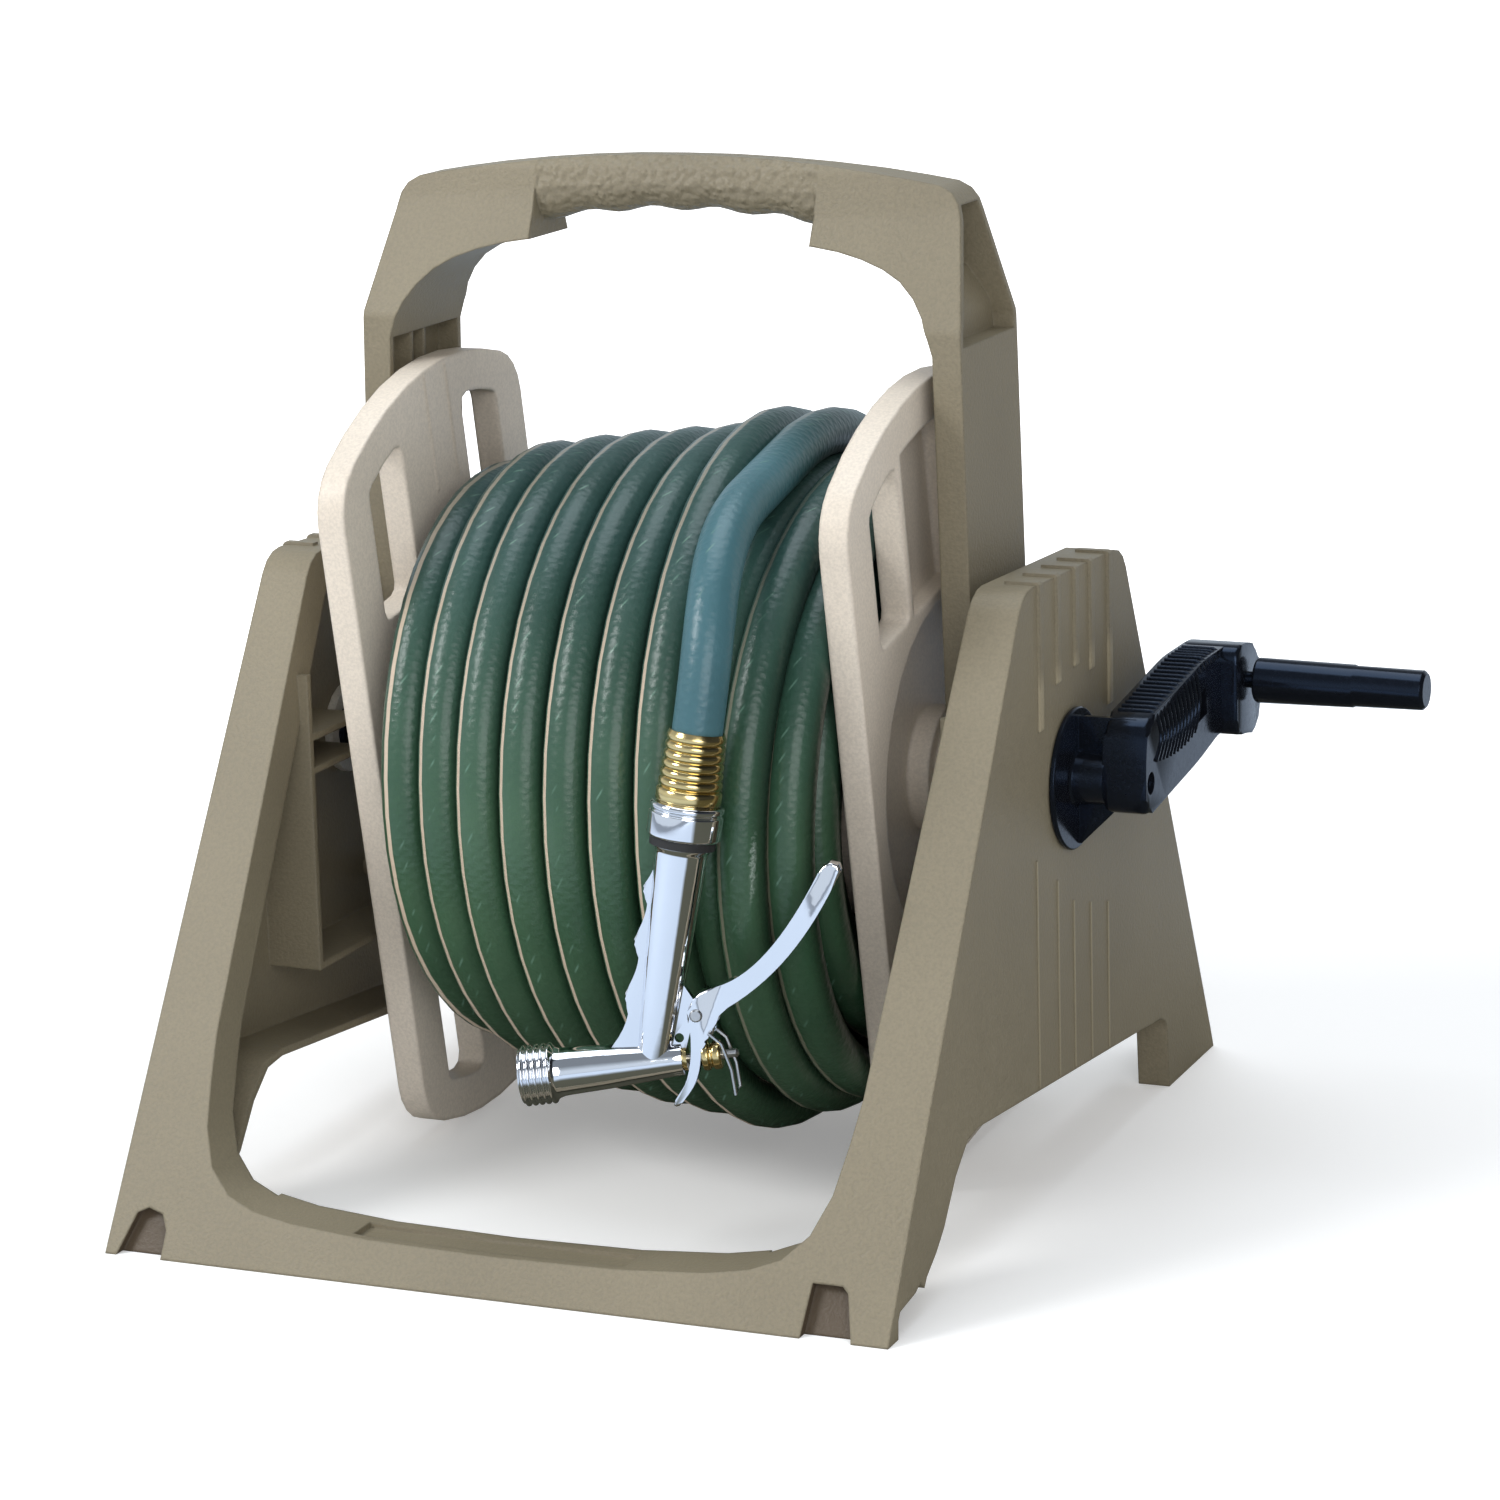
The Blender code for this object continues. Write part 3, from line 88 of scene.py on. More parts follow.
# The turns under the outer layer, counted back from its start: (turns, place along the axis, radius)
HIDDEN = [
    (0.0, -99.27, 123.2),
    (0.3, -95.0, 116.0),
    (0.8, -70.0, 112.0),
    (1.3, -30.0, 115.0),
    (1.7, 0.0, 120.0),
    (2.0, 7.0, 121.5),
    (3.0, 29.0, 123.5),
    (3.85, 49.0, 127.0),
    (4.25, 59.0, 134.0),
    (4.583, 66.0, 137.5),
    (5.0, 75.0, 142.0),
    (5.583, 86.0, 147.0),
    (6.1, 97.0, 140.0),
    (6.583, 104.5, 134.7),
    (7.0, 104.5, 126.0),
    (7.6, 104.0, 101.0),
    (14.1, -45.0, 101.0),
    (14.6, -70.0, 92.0),
    (14.9, -80.0, 82.0),
    (22.95, 104.0, 81.5),
    (24.514, -55.0, 81.5),
]

# How finely the hose is drawn: points for each turn and round it, over how many points to each side its
# corners are rounded, and how many are left out before the outer layer starts
HIDDEN_STEPS, OUTER_STEPS, HOSE_SIDES = 52, 48, 24
HIDDEN_SOFTNESS, STRIPE_SOFTNESS = 10, 6
LAYER_GAP_STEPS = 8

# The hose's ends: the coupling inside the drum, the straight run out of it and the bend up to the window, how
# deep the other end sits in the ferrule, and how far to each side of the handle's top it runs straight
COUPLING = Vector((-55.0, -37.3, 0.0))
COUPLING_STRAIGHT, COUPLING_BEND, BEND_STEPS = 24.0, 16.0, 8
WINDOW_BEND = 20.0
SEAT_DEPTH = 15.2
STRAIGHT_ABOVE, STRAIGHT_BELOW = 6.5, 2.5
DROP_FULLNESS, DROP_STEPS = 0.42, 30

# The pale stripe: the way that it faces, how far past the hose's edge it lies, and how far round the leftmost
# turns carry it
STRIPE_FACES = Vector((0.38, 0.9, 0.21))
LEAST_OUTWARD = 0.13
STRIPE_SHOW = 0.07
LEFT_TURNS_END, LEFT_TURNS_FADE, LEFT_TURNS_EXTRA = -0.118, 0.03, 0.035


def look_through():
    """The camera, at the photograph's own place and angle."""
    around, above, roll = (math.radians(angle) for angle in (CAMERA_AROUND, CAMERA_ABOVE, CAMERA_ROLL))
    back = Vector((math.sin(around) * math.cos(above), -math.cos(around) * math.cos(above), math.sin(above)))
    right = Vector((math.cos(around), math.sin(around), 0.0))
    up = back.cross(right)
    side = right * math.cos(roll) + up * math.sin(roll)
    rise = up * math.cos(roll) - right * math.sin(roll)
    data = bpy.data.cameras.new("camera")
    data.sensor_width = CAMERA_SENSOR
    data.lens = CAMERA_LENS
    data.shift_x, data.shift_y = CAMERA_SHIFT
    data.clip_end = CAMERA_REACH
    camera = bpy.data.objects.new("camera", data)
    SCENE.collection.objects.link(camera)
    turn = Matrix((side, rise, back)).transposed().to_4x4()
    camera.matrix_world = Matrix.Translation(CAMERA_AT) @ turn
    SCENE.camera = camera


look_through()


def on_reel(x, angle, radius):
    """A point round the reel, in millimetres from its axis. The angle runs over the top toward the front."""
    return Vector((x, -radius * math.sin(angle), SAG + radius * math.cos(angle)))


def outer_point(angle):
    """A point of the outer layer, which lies further out over the top than in front."""
    x = FIRST_CREST + PITCH * angle / (2 * math.pi)
    rise = max(math.cos(angle), 0.0) ** 2
    in_front, on_top = (float(np.interp(x, *radii)) for radii in (FRONT_RADII, CREST_RADII))
    return on_reel(x, angle, in_front * (1 - rise) + on_top * rise)


def softened_line(values, reach):
    """The sequence with its corners rounded over that many steps to each side, and its ends held."""
    padded = np.concatenate([np.full(reach, values[0]), values, np.full(reach, values[-1])])
    weights = np.hanning(2 * reach + 3)[1:-1]
    return np.convolve(padded, weights / weights.sum(), "valid")


def hidden_path():
    """The turns under the outer layer, from the drum out. It stops a little before the outer layer starts."""
    turns, places, radii = (np.array(column) for column in zip(*HIDDEN))
    back = np.linspace(turns[-1], 0.0, int(turns[-1] * HIDDEN_STEPS) + 1)
    x = softened_line(np.interp(back, turns, places), HIDDEN_SOFTNESS)
    radius = softened_line(np.interp(back, turns, radii), HIDDEN_SOFTNESS)
    path = [on_reel(a, FIRST - 2 * math.pi * t, r) for a, r, t in zip(x, radius, back)]
    return path[:-LAYER_GAP_STEPS]


def bezier(a, b, c, d, count):
    made = []
    for k in range(count + 1):
        t = k / count
        made.append(a * (1 - t) ** 3 + b * (3 * t * (1 - t) ** 2) + c * (3 * t * t * (1 - t)) + d * t**3)
    return made


def lead_in(wound):
    """From the coupling inside the drum, straight forward and out through its window, to the first turn."""
    away = Vector((0.0, -1.0, 0.0))
    onward = (wound[1] - wound[0]).normalized()
    straight = [COUPLING + away * (COUPLING_STRAIGHT * k / 3) for k in range(4)]
    leave = straight.pop()
    bend = bezier(leave, leave + away * COUPLING_BEND, wound[0] - onward * WINDOW_BEND, wound[0], BEND_STEPS)
    return straight + bend[:-1]


def loose_end(outer):
    """From the last turn, on over the front and down to the seat in the ferrule."""
    way = (outer[-1] - outer[-2]).normalized()
    top = NOZZLE_TOP - (AXIS - BASE_MIDDLE) / MM
    down = (NOZZLE_FOOT - NOZZLE_TOP).normalized()
    end = outer[-1] + way * (4 * HOSE_R + 0.3)
    meet = top - down * STRAIGHT_ABOVE
    reach = (meet - end).length * DROP_FULLNESS
    tail = [outer[-1] + way * HOSE_R * k for k in (1, 2, 3)]
    tail += bezier(end, end + way * reach, meet - down * reach, meet, DROP_STEPS)
    return tail + [top + down * STRAIGHT_BELOW, top + down * SEAT_DEPTH]


def stripe_turns(points):
    """How far round the hose its stripe lies from the left side at each point, as a share of a turn."""
    round_reel = np.arctan2(AXIS.y - points[:, 1], points[:, 2] - AXIS.z - SAG * MM)
    facing = STRIPE_FACES.y * np.sin(round_reel) + STRIPE_FACES.z * np.cos(round_reel)
    edge = np.arctan2(STRIPE_FACES.x, np.maximum(facing, LEAST_OUTWARD)) / (2 * math.pi)
    leftmost = np.clip((LEFT_TURNS_END - points[:, 0]) / LEFT_TURNS_FADE, 0.0, 1.0)
    return edge + STRIPE_SHOW + LEFT_TURNS_EXTRA * leftmost


def tube_object(name, path, radius, sides):
    """A round tube along the path, in metres. U runs round it from its stripe and V along it."""
    points = np.array([tuple(p) for p in path])
    ways = np.gradient(points, axis=0)
    ways /= np.linalg.norm(ways, axis=1)[:, None]
    west = np.array([-1.0, 0.0, 0.0])
    left = west - ways * (ways @ west)[:, None]
    left /= np.linalg.norm(left, axis=1)[:, None]
    out = np.cross(left, ways)
    along = np.concatenate([[0.0], np.cumsum(np.linalg.norm(np.diff(points, axis=0), axis=1))])
    angles = np.arange(sides) * 2 * math.pi / sides
    rings = points[:, None] + radius * (
        np.cos(angles)[None, :, None] * left[:, None] + np.sin(angles)[None, :, None] * out[:, None]
    )
    shift = softened_line(stripe_turns(points), STRIPE_SOFTNESS)
    faces = []
    places = []
    for i in range(len(points) - 1):
        a, b = shift[i], shift[i + 1]
        for j in range(sides):
            k = (j + 1) % sides
            faces.append((i * sides + j, i * sides + k, (i + 1) * sides + k, (i + 1) * sides + j))
            u, v = j / sides, (j + 1) / sides
            places += [(u - a, along[i]), (v - a, along[i]), (v - b, along[i + 1]), (u - b, along[i + 1])]
    last = (len(points) - 1) * sides
    faces.append(tuple(reversed(range(sides))))
    faces.append(tuple(last + j for j in range(sides)))
    places += [(0.5, along[0])] * sides + [(0.5, along[-1])] * sides
    mesh = bpy.data.meshes.new(name)
    mesh.from_pydata(rings.reshape(-1, 3).tolist(), [], faces)
    layer = mesh.uv_layers.new(name="along")
    layer.data.foreach_set("uv", np.array(places, np.float32).ravel())
    mesh.shade_smooth()
    obj = bpy.data.objects.new(name, mesh)
    SCENE.collection.objects.link(obj)
    return obj, float(along[-1])


WOUND = hidden_path()
OUTER_COUNT = int((LAST - FIRST) / (2 * math.pi) * OUTER_STEPS)
OUTER = [outer_point(FIRST + (LAST - FIRST) * k / OUTER_COUNT) for k in range(OUTER_COUNT + 1)]
LOOSE = loose_end(OUTER)
HOSE_LINE = [AXIS + p * MM for p in lead_in(WOUND) + WOUND + OUTER + LOOSE]
HOSE, HOSE_LENGTH = tube_object("garden_hose", HOSE_LINE, HOSE_R * MM, HOSE_SIDES)
LOOSE_LENGTH = sum((b - a).length for a, b in zip([OUTER[-1]] + LOOSE, LOOSE)) * MM
LOOSE_FROM = HOSE_LENGTH - LOOSE_LENGTH


def nozzle_place():
    """From the nozzle's own millimetres, with Z up its handle and X to its lever, to the frame's metres."""
    up = (NOZZLE_TOP - NOZZLE_FOOT).normalized()
    right = -(OUTLET_WAY - up * OUTLET_WAY.dot(up)).normalized()
    turn = Matrix((right, up.cross(right), up)).transposed().to_4x4()
    return Matrix.Translation(NOZZLE_FOOT * MM + BASE_MIDDLE) @ turn @ Matrix.Scale(MM, 4)


# The nozzle's handle, and its barrel, which leans back a little from square to the handle
BARREL_RISE, BARREL_TILT = 2.7, math.radians(-15.65)
ON_NOZZLE = nozzle_place()
ON_BARREL = ON_NOZZLE @ Matrix.Translation((0.0, 0.0, BARREL_RISE)) @ Matrix.Rotation(BARREL_TILT, 4, "Y")
ALONG_X = Matrix.Rotation(math.radians(90.0), 4, "Y")
SHARP = 35.0


def eased(points, reach, steps=4, closed=False):
    """The line with each corner turned into a short curve that begins at most reach before it."""
    line = [Vector(p) for p in points]
    made = []
    for i, corner in enumerate(line):
        if not closed and i in (0, len(line) - 1):
            made.append(corner)
            continue
        before = line[i - 1] - corner
        after = line[(i + 1) % len(line)] - corner
        start = corner + before.normalized() * min(reach, before.length * 0.45)
        end = corner + after.normalized() * min(reach, after.length * 0.45)
        for k in range(steps + 1):
            t = k / steps
            made.append(start * (1 - t) ** 2 + corner * (2 * t * (1 - t)) + end * t**2)
    return made


def swept(corners, count):
    """A curve of count steps from four plane points."""
    return bezier(*(Vector(corner) for corner in corners), count)


def lathe(made, profile, sides, place, ring=False):
    """Adds a turned body to the bmesh. The profile is (distance along the axis, radius)."""
    rows = []
    for z, r in profile:
        if r < 1e-6:
            rows.append([made.verts.new(place @ Vector((0.0, 0.0, z)))])
            continue
        angles = [2 * math.pi * j / sides for j in range(sides)]
        rows.append([made.verts.new(place @ Vector((r * math.cos(a), r * math.sin(a), z))) for a in angles])
    pairs = list(zip(rows, rows[1:])) + ([(rows[-1], rows[0])] if ring else [])
    for low, high in pairs:
        for j in range(sides):
            k = (j + 1) % sides
            corners = [low[j % len(low)], low[k % len(low)], high[k % len(high)], high[j % len(high)]]
            corners = list(dict.fromkeys(corners))
            if len(corners) > 2:
                made.faces.new(corners)


def slab(made, outline, half, place, rim=0.0, clamp=True):
    """Adds a plate across Y to the bmesh, with its rims rounded."""
    near = [made.verts.new(place @ Vector((x, -half, z))) for x, z in outline]
    far = [made.verts.new(place @ Vector((x, half, z))) for x, z in outline]
    faces = [made.faces.new(near), made.faces.new(list(reversed(far)))]
    for i in range(len(outline)):
        k = (i + 1) % len(outline)
        made.faces.new((near[k], near[i], far[i], far[k]))
    if rim > 0:
        edges = list(dict.fromkeys(edge for face in faces for edge in face.edges))
        bmesh.ops.bevel(
            made, geom=edges, offset=rim * MM, segments=4, profile=0.5, affect="EDGES", clamp_overlap=clamp
        )


def shaped(name, build, sharp=SHARP):
    """A new object from what build() adds to an empty bmesh, shaded smooth but for its sharp edges."""
    made = bmesh.new()
    build(made)
    bmesh.ops.recalc_face_normals(made, faces=made.faces)
    mesh = bpy.data.meshes.new(name)
    made.to_mesh(mesh)
    made.free()
    mesh.shade_smooth()
    mesh.set_sharp_from_angle(angle=math.radians(sharp))
    obj = bpy.data.objects.new(name, mesh)
    SCENE.collection.objects.link(obj)
    return obj


def without(obj, build):
    """Cuts what build() makes out of the object."""
    cutter = shaped("cutter", build)
    step = obj.modifiers.new("cut", "BOOLEAN")
    step.object = cutter
    step.operation = "DIFFERENCE"
    step.solver = "EXACT"
    result = bpy.data.meshes.new_from_object(obj.evaluated_get(bpy.context.evaluated_depsgraph_get()))
    obj.modifiers.clear()
    obj.data = result
    obj.data.set_sharp_from_angle(angle=math.radians(SHARP))
    bpy.data.objects.remove(cutter)
    return obj


def finger_grip():
    """The finger grip's outline, from under the collar down to the barrel: four hollows and three points."""
    hollows = [
        ((-9.6, 97.5), (-9.8, 90.0), (-11.4, 84.5), (-14.4, 80.2)),
        ((-14.4, 79.4), (-10.4, 76.6), (-10.2, 68.0), (-15.3, 56.4)),
        ((-15.3, 55.5), (-11.0, 52.4), (-10.8, 43.5), (-16.1, 32.0)),
        ((-16.1, 31.1), (-12.0, 28.0), (-11.9, 16.5), (-21.0, 3.4)),
    ]
    line = []
    for hollow in hollows:
        line += swept(hollow, 9)
    return line + [Vector((-20.0, -2.0)), Vector((0.0, 0.0)), Vector((0.0, 97.5))]


def ridged(start, end, crest, root, count):
    """Profile points of a thread's ridges between two distances."""
    step = (end - start) / count
    made = []
    for k in range(count):
        z = start + step * k
        made += [(z, root), (z + step * 0.2, root), (z + step * 0.45, crest), (z + step * 0.75, crest)]
    return made + [(end, root)]


def build_casting(made):
    """The collar, the tapered handle with its finger grip, and the barrel with its threaded, hollow mouth."""
    collar = [
        (118.8, 0.0), (118.8, 13.9), (118.8, 15.5), (117.8, 16.4), (116.0, 16.4), (115.6, 15.6),
        (114.7, 15.6), (114.3, 16.4), (104.4, 16.4), (103.4, 15.6), (103.2, 13.0),
    ]
    handle = [
        (99.6, 13.0), (98.6, 12.6), (97.0, 11.7), (80.0, 11.0), (50.0, 9.8), (20.0, 8.5), (3.0, 7.6),
        (-3.0, 5.4), (-5.0, 0.0),
    ]
    lathe(made, eased(collar + handle, 0.6), 72, ON_NOZZLE)
    slab(made, finger_grip(), 3.2, ON_NOZZLE, 0.9, False)
    thread = ridged(-58.8, -44.0, 13.5, 12.2, 5)
    barrel = [
        (-43.0, 11.4), (-40.5, 10.7), (-38.0, 10.5), (-20.0, 9.7), (0.0, 8.2), (8.0, 7.5), (13.6, 7.3),
        (13.8, 5.2), (13.8, 0.0),
    ]
    mouth = [(-45.0, 0.0), (-45.0, 5.3), (-48.0, 3.6), (-52.0, 3.6), (-54.0, 9.0), (-58.8, 9.6)]
    lathe(made, mouth + eased(thread + barrel, 0.35, 2), 64, ON_BARREL @ ALONG_X)


def build_lug(made):
    """The web between handle and barrel that the lever is hinged on."""
    outline = [
        (3.0, 46.0), (7.3, 40.8), (14.5, 32.8), (18.6, 30.4), (19.8, 27.1), (18.4, 23.8), (14.8, 21.4),
        (13.4, 9.8), (3.0, 7.0),
    ]
    slab(made, eased(outline, 1.4, 4, True), 2.2, ON_NOZZLE, 0.5)


def lug_hole(made):
    across = Matrix.Rotation(math.radians(-90.0), 4, "X")
    place = ON_NOZZLE @ Matrix.Translation((10.1, 0.0, 15.6)) @ across
    lathe(made, [(-5.0, 0.0), (-5.0, 2.1), (5.0, 2.1), (5.0, 0.0)], 24, place)


def build_lever(made):
    """The curved lever, with a forked foot that reaches round the valve rod."""
    back = swept(((20.4, 40.0), (38.0, 46.0), (50.4, 68.0), (60.6, 97.5)), 16)
    front = swept(((70.2, 100.0), (61.0, 70.0), (48.5, 47.0), (25.4, 29.5)), 16)
    tip = [Vector((62.0, 101.0)), Vector((65.0, 103.2)), Vector((68.8, 102.6))]
    fork = [
        (24.4, 25.0), (25.6, 20.8), (22.4, 17.6), (20.2, 14.6), (21.0, 8.6), (21.0, 2.0), (19.6, -4.6),
        (14.2, -14.8), (11.8, -14.4), (12.0, -12.2), (15.9, -4.0), (16.6, 2.0), (16.6, 9.0), (14.9, 20.0),
        (12.2, 25.0), (12.4, 31.0), (16.0, 37.0),
    ]
    slab(made, back + tip + front + eased(fork, 3.0, 2), 5.0, ON_NOZZLE, 1.1, False)


def lever_slot(made):
    slot = [(6.0, -18.0), (30.0, -18.0), (30.0, 24.0), (22.0, 33.0), (14.0, 38.0), (6.0, 38.0)]
    slab(made, slot, 2.55, ON_NOZZLE)


def build_ferrule(made):
    """The hose's brass end: a plain band, then six crimped rings that taper upward."""
    outside = [(119.3, 13.0), (119.3, 13.9), (119.9, 14.5), (124.4, 14.5), (125.2, 13.9), (125.7, 13.0)]
    rings, first, pitch, taper, swell = 6, 126.0, 4.0, 0.055, 1.0
    for k in range(rings):
        for t in (0.0, 0.12, 0.3, 0.5, 0.7, 0.88):
            z = first + pitch * (k + t)
            outside.append((z, 13.3 - taper * (z - first) + swell * math.sin(math.pi * t) ** 0.7))
    outside += [(150.1, 12.3), (150.6, 12.0), (150.6, 11.5)]
    inside = [(134.0, 11.4), (133.8, 8.0), (106.4, 8.0), (106.4, 12.3), (107.4, 13.0)]
    lathe(made, outside + inside, 64, ON_NOZZLE, True)


def build_flow_nut(made):
    outside = [
        (22.0, 2.3), (22.0, 5.7), (22.7, 6.4), (24.9, 6.4), (25.5, 5.3), (26.5, 5.3), (27.1, 6.4),
        (29.8, 6.4), (30.6, 5.7), (30.6, 2.3),
    ]
    lathe(made, eased(outside, 0.5, 3), 48, ON_BARREL @ ALONG_X, True)


# A black ring in the gap under the nozzle's collar. It is painted shade: the gap holds only shade, and the
# ring stands in for it.
def build_collar_gap_shade(made):
    lathe(made, [(99.7, 12.5), (99.7, 14.6), (103.3, 14.6), (103.3, 12.5)], 48, ON_NOZZLE, True)


# The crank's arm, between two distances from the middle of the base, and the ridges on it: how many, where,
# how far down their corner goes, how far the long ones reach below that, and how those curve
ARM_IN, ARM_OUT = HALF + 17.0, HALF + 38.0
RIBS, LONG_RIBS = 19, 12
FIRST_RIB, RIB_PITCH, RIB_R = 10.0, 5.3, 1.15
RIB_CORNER, RIB_REACH, RIB_SWELL = 3.6, 17.0, 9.0
RIB_BOW, RIB_SLANT = 6.5, 3.0
ARM_FOOT_TOP, ARM_END_TOP = 29.5, 40.5
ON_REEL = Matrix.Translation(AXIS) @ Matrix.Scale(MM, 4)
ACROSS_X = ON_REEL @ Matrix.Rotation(math.radians(90.0), 4, "Z")


def cross_slab(made, outline, near, far, rim):
    """A plate across X between two distances. The outline is (y, z) from the reel's axis."""
    place = ACROSS_X @ Matrix.Translation((0.0, -(near + far) / 2, 0.0))
    slab(made, outline, (far - near) / 2, place, rim, False)


def build_crank_arm(made):
    arm = [
        (-7.0, -15.5), (13.0, -13.0), (72.0, -6.0), (107.0, 0.5), (122.0, -3.0), (140.0, -7.0), (150.0, 18.0),
        (141.0, 36.0), (125.0, ARM_END_TOP), (83.0, ARM_END_TOP), (-2.0, ARM_FOOT_TOP), (-7.0, 14.0),
    ]
    cross_slab(made, eased(arm, 9.0, 4, True), ARM_IN, ARM_OUT, 3.2)


def build_crank_holes(made):
    """The window through the arm, and the seat of the bolt's head."""
    window = [(69.0, 12.0), (86.0, 14.0), (84.0, 27.0), (70.0, 24.5)]
    cross_slab(made, window, ARM_IN - 6.0, ARM_OUT + 6.0, 0.0)
    floor, open_end, radius = ARM_OUT - 8.6, ARM_OUT + 5.0, 5.2
    lathe(made, [(floor, 0.0), (floor, radius), (open_end, radius), (open_end, 0.0)], 32, ON_REEL @ ALONG_X)


def rod_along(made, path, radius, sides, place):
    """Adds a round bar with closed ends along the path."""
    rows = []
    for i, at in enumerate(path):
        way = (path[min(i + 1, len(path) - 1)] - path[max(i - 1, 0)]).normalized()
        side = way.cross(Vector((0.13, 1.0, 0.07))).normalized()
        other = way.cross(side)
        angles = [2 * math.pi * j / sides for j in range(sides)]
        ring = [at + (side * math.cos(a) + other * math.sin(a)) * radius for a in angles]
        rows.append([made.verts.new(place @ point) for point in ring])
    for low, high in zip(rows, rows[1:]):
        for j in range(sides):
            k = (j + 1) % sides
            made.faces.new((low[j], low[k], high[k], high[j]))
    made.faces.new(list(reversed(rows[0])))
    made.faces.new(rows[-1])


def build_crank_ribs(made):
    """Ridges across the arm's top that turn over its corner. The first ones curve on down its outer side."""
    for k in range(RIBS):
        y = FIRST_RIB + RIB_PITCH * k
        top = ARM_FOOT_TOP + (ARM_END_TOP - ARM_FOOT_TOP) * min((y + 2.0) / 85.0, 1.0)
        reach = RIB_REACH + RIB_SWELL * math.sin(math.pi * (k + 1) / (RIBS + 1))
        line = [Vector((x, y, top)) for x in (ARM_IN + 2.5, ARM_OUT - 6.0, ARM_OUT - 3.2)]
        line += [Vector((ARM_OUT - 0.9, y, top - 1.0)), Vector((ARM_OUT, y + 0.6, top - RIB_CORNER))]
        if k < LONG_RIBS:
            for t in (0.2, 0.4, 0.6, 0.8, 1.0):
                bow = RIB_BOW * math.sin(math.pi * t)
                line.append(Vector((ARM_OUT, y + bow - RIB_SLANT * t, top - RIB_CORNER - reach * t)))
        rod_along(made, line, RIB_R, 10, ON_REEL)


def build_crank_hub(made):
    """The disc against the base, the shaft into it, the box at the arm's end, a fin and a gusset."""
    disc = [
        (HALF + 0.3, 0.0), (HALF + 0.3, 32.4), (HALF + 0.9, 33.0), (HALF + 2.4, 33.0), (HALF + 3.0, 32.4),
        (HALF + 3.0, 13.0), (HALF + 4.0, 12.0), (ARM_IN + 1.0, 11.0), (ARM_IN + 1.0, 0.0),
    ]
    lathe(made, disc, 72, ON_REEL @ ALONG_X)
    lathe(made, [(160.0, 0.0), (160.0, 10.5), (HALF + 1.0, 10.5), (HALF + 1.0, 0.0)], 48, ON_REEL @ ALONG_X)
    end = [
        (108.0, -2.0), (122.0, -3.0), (140.0, -7.0), (150.0, 18.0), (141.0, 36.0), (125.0, 41.0),
        (108.0, 41.0),
    ]
    cross_slab(made, eased(end, 8.0, 4, True), ARM_IN + 1.0, ARM_OUT + 8.0, 2.0)
    fin = [(HALF + 1.5, -2.0), (ARM_OUT - 5.0, -2.0), (ARM_OUT - 5.0, 29.0), (HALF + 1.5, 29.0)]
    at_fin = ON_REEL @ Matrix.Translation((0.0, 2.5, 0.0))
    slab(made, eased(fin, 2.5, 4, True), 1.5, at_fin, 0.5)
    gusset = [
        (HALF + 2.0, -31.0), (HALF + 4.0, -31.0), (ARM_IN + 9.0, -9.0), (ARM_IN + 9.0, 0.0),
        (HALF + 2.0, 0.0),
    ]
    slab(made, gusset, 1.5, at_fin, 0.5)


# The finish of each piece made here
FINISH_OF = {}


def piece(name, body, finish, stands_for, build, cut=None, sharp=SHARP):
    """A built and cut object that rides on the body in place of the CAD node."""
    obj = shaped(name, build, sharp)
    if cut:
        without(obj, cut)
    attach(obj, body)
    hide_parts(stands_for)
    FINISH_OF[obj] = finish
    return obj


ON_HOSE = [
    # The black ring under the collar is painted shade in that gap
    piece("collar_gap_shade_ring", "reel", "black_rubber", "nozzle_body", build_collar_gap_shade),
    piece("nozzle_casting", "reel", "chrome", "nozzle_body", build_casting),
    piece("nozzle_lug", "reel", "chrome", "nozzle_body", build_lug, lug_hole),
    piece("nozzle_lever", "trigger", "chrome", "nozzle_trigger", build_lever, lever_slot),
    piece("ferrule_turned", "reel", "brass", "hose_end_ferrule", build_ferrule, sharp=50.0),
    piece("flow_nut_turned", "flow_adjuster", "brass", "flow_nut", build_flow_nut, sharp=50.0),
]
piece("crank_arm_box", "reel", "black_plastic", "crank_arm", build_crank_arm, build_crank_holes)
piece("crank_arm_ribs", "reel", "black_plastic", "crank_arm", build_crank_ribs)
piece("crank_hub_plates", "reel", "black_plastic", "crank_arm", build_crank_hub)

ON_HOSE += ["nozzle_washer", "trigger_pin", "gland_nut", "valve_spring", "valve_rod", "hold_open_clip"]
FINISH_OF[HOSE] = "hose_vinyl"
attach(HOSE, "reel")
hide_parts("hose_lead_in", "hose_inner_layers", "hose_outer_turns", "hose_loose_end")


def material_named(name, colour, roughness, metallic=0.0):
    made = bpy.data.materials.new(name)
    made.use_nodes = True
    shader = made.node_tree.nodes["Principled BSDF"]
    shader.inputs["Base Color"].default_value = (*colour, 1.0)
    shader.inputs["Roughness"].default_value = roughness
    shader.inputs["Metallic"].default_value = metallic
    return made, made.node_tree, shader


def node(tree, kind, **values):
    """A new node. Each value goes to the input of its name, or else to the setting of its name."""
    made = tree.nodes.new(kind)
    for key, value in values.items():
        if key in made.inputs:
            made.inputs[key].default_value = value
        else:
            setattr(made, key, value)
    return made


def feed(tree, socket, value):
    """Links the input to a socket, or gives it a colour or a number."""
    if isinstance(value, bpy.types.NodeSocket):
        tree.links.new(value, socket)
    elif isinstance(value, tuple):
        socket.default_value = (*value, 1.0)
    else:
        socket.default_value = value


def coordinates(tree):
    return node(tree, "ShaderNodeTexCoord").outputs["Object"]


def parted(tree, vector):
    """The vector's X, Y and Z."""
    parts = node(tree, "ShaderNodeSeparateXYZ")
    feed(tree, parts.inputs["Vector"], vector)
    return parts.outputs["X"], parts.outputs["Y"], parts.outputs["Z"]


def noise(tree, where, scale, detail=3.0, roughness=0.5):
    made = node(tree, "ShaderNodeTexNoise", Scale=scale, Detail=detail, Roughness=roughness)
    feed(tree, made.inputs["Vector"], where)
    return made.outputs["Fac"]


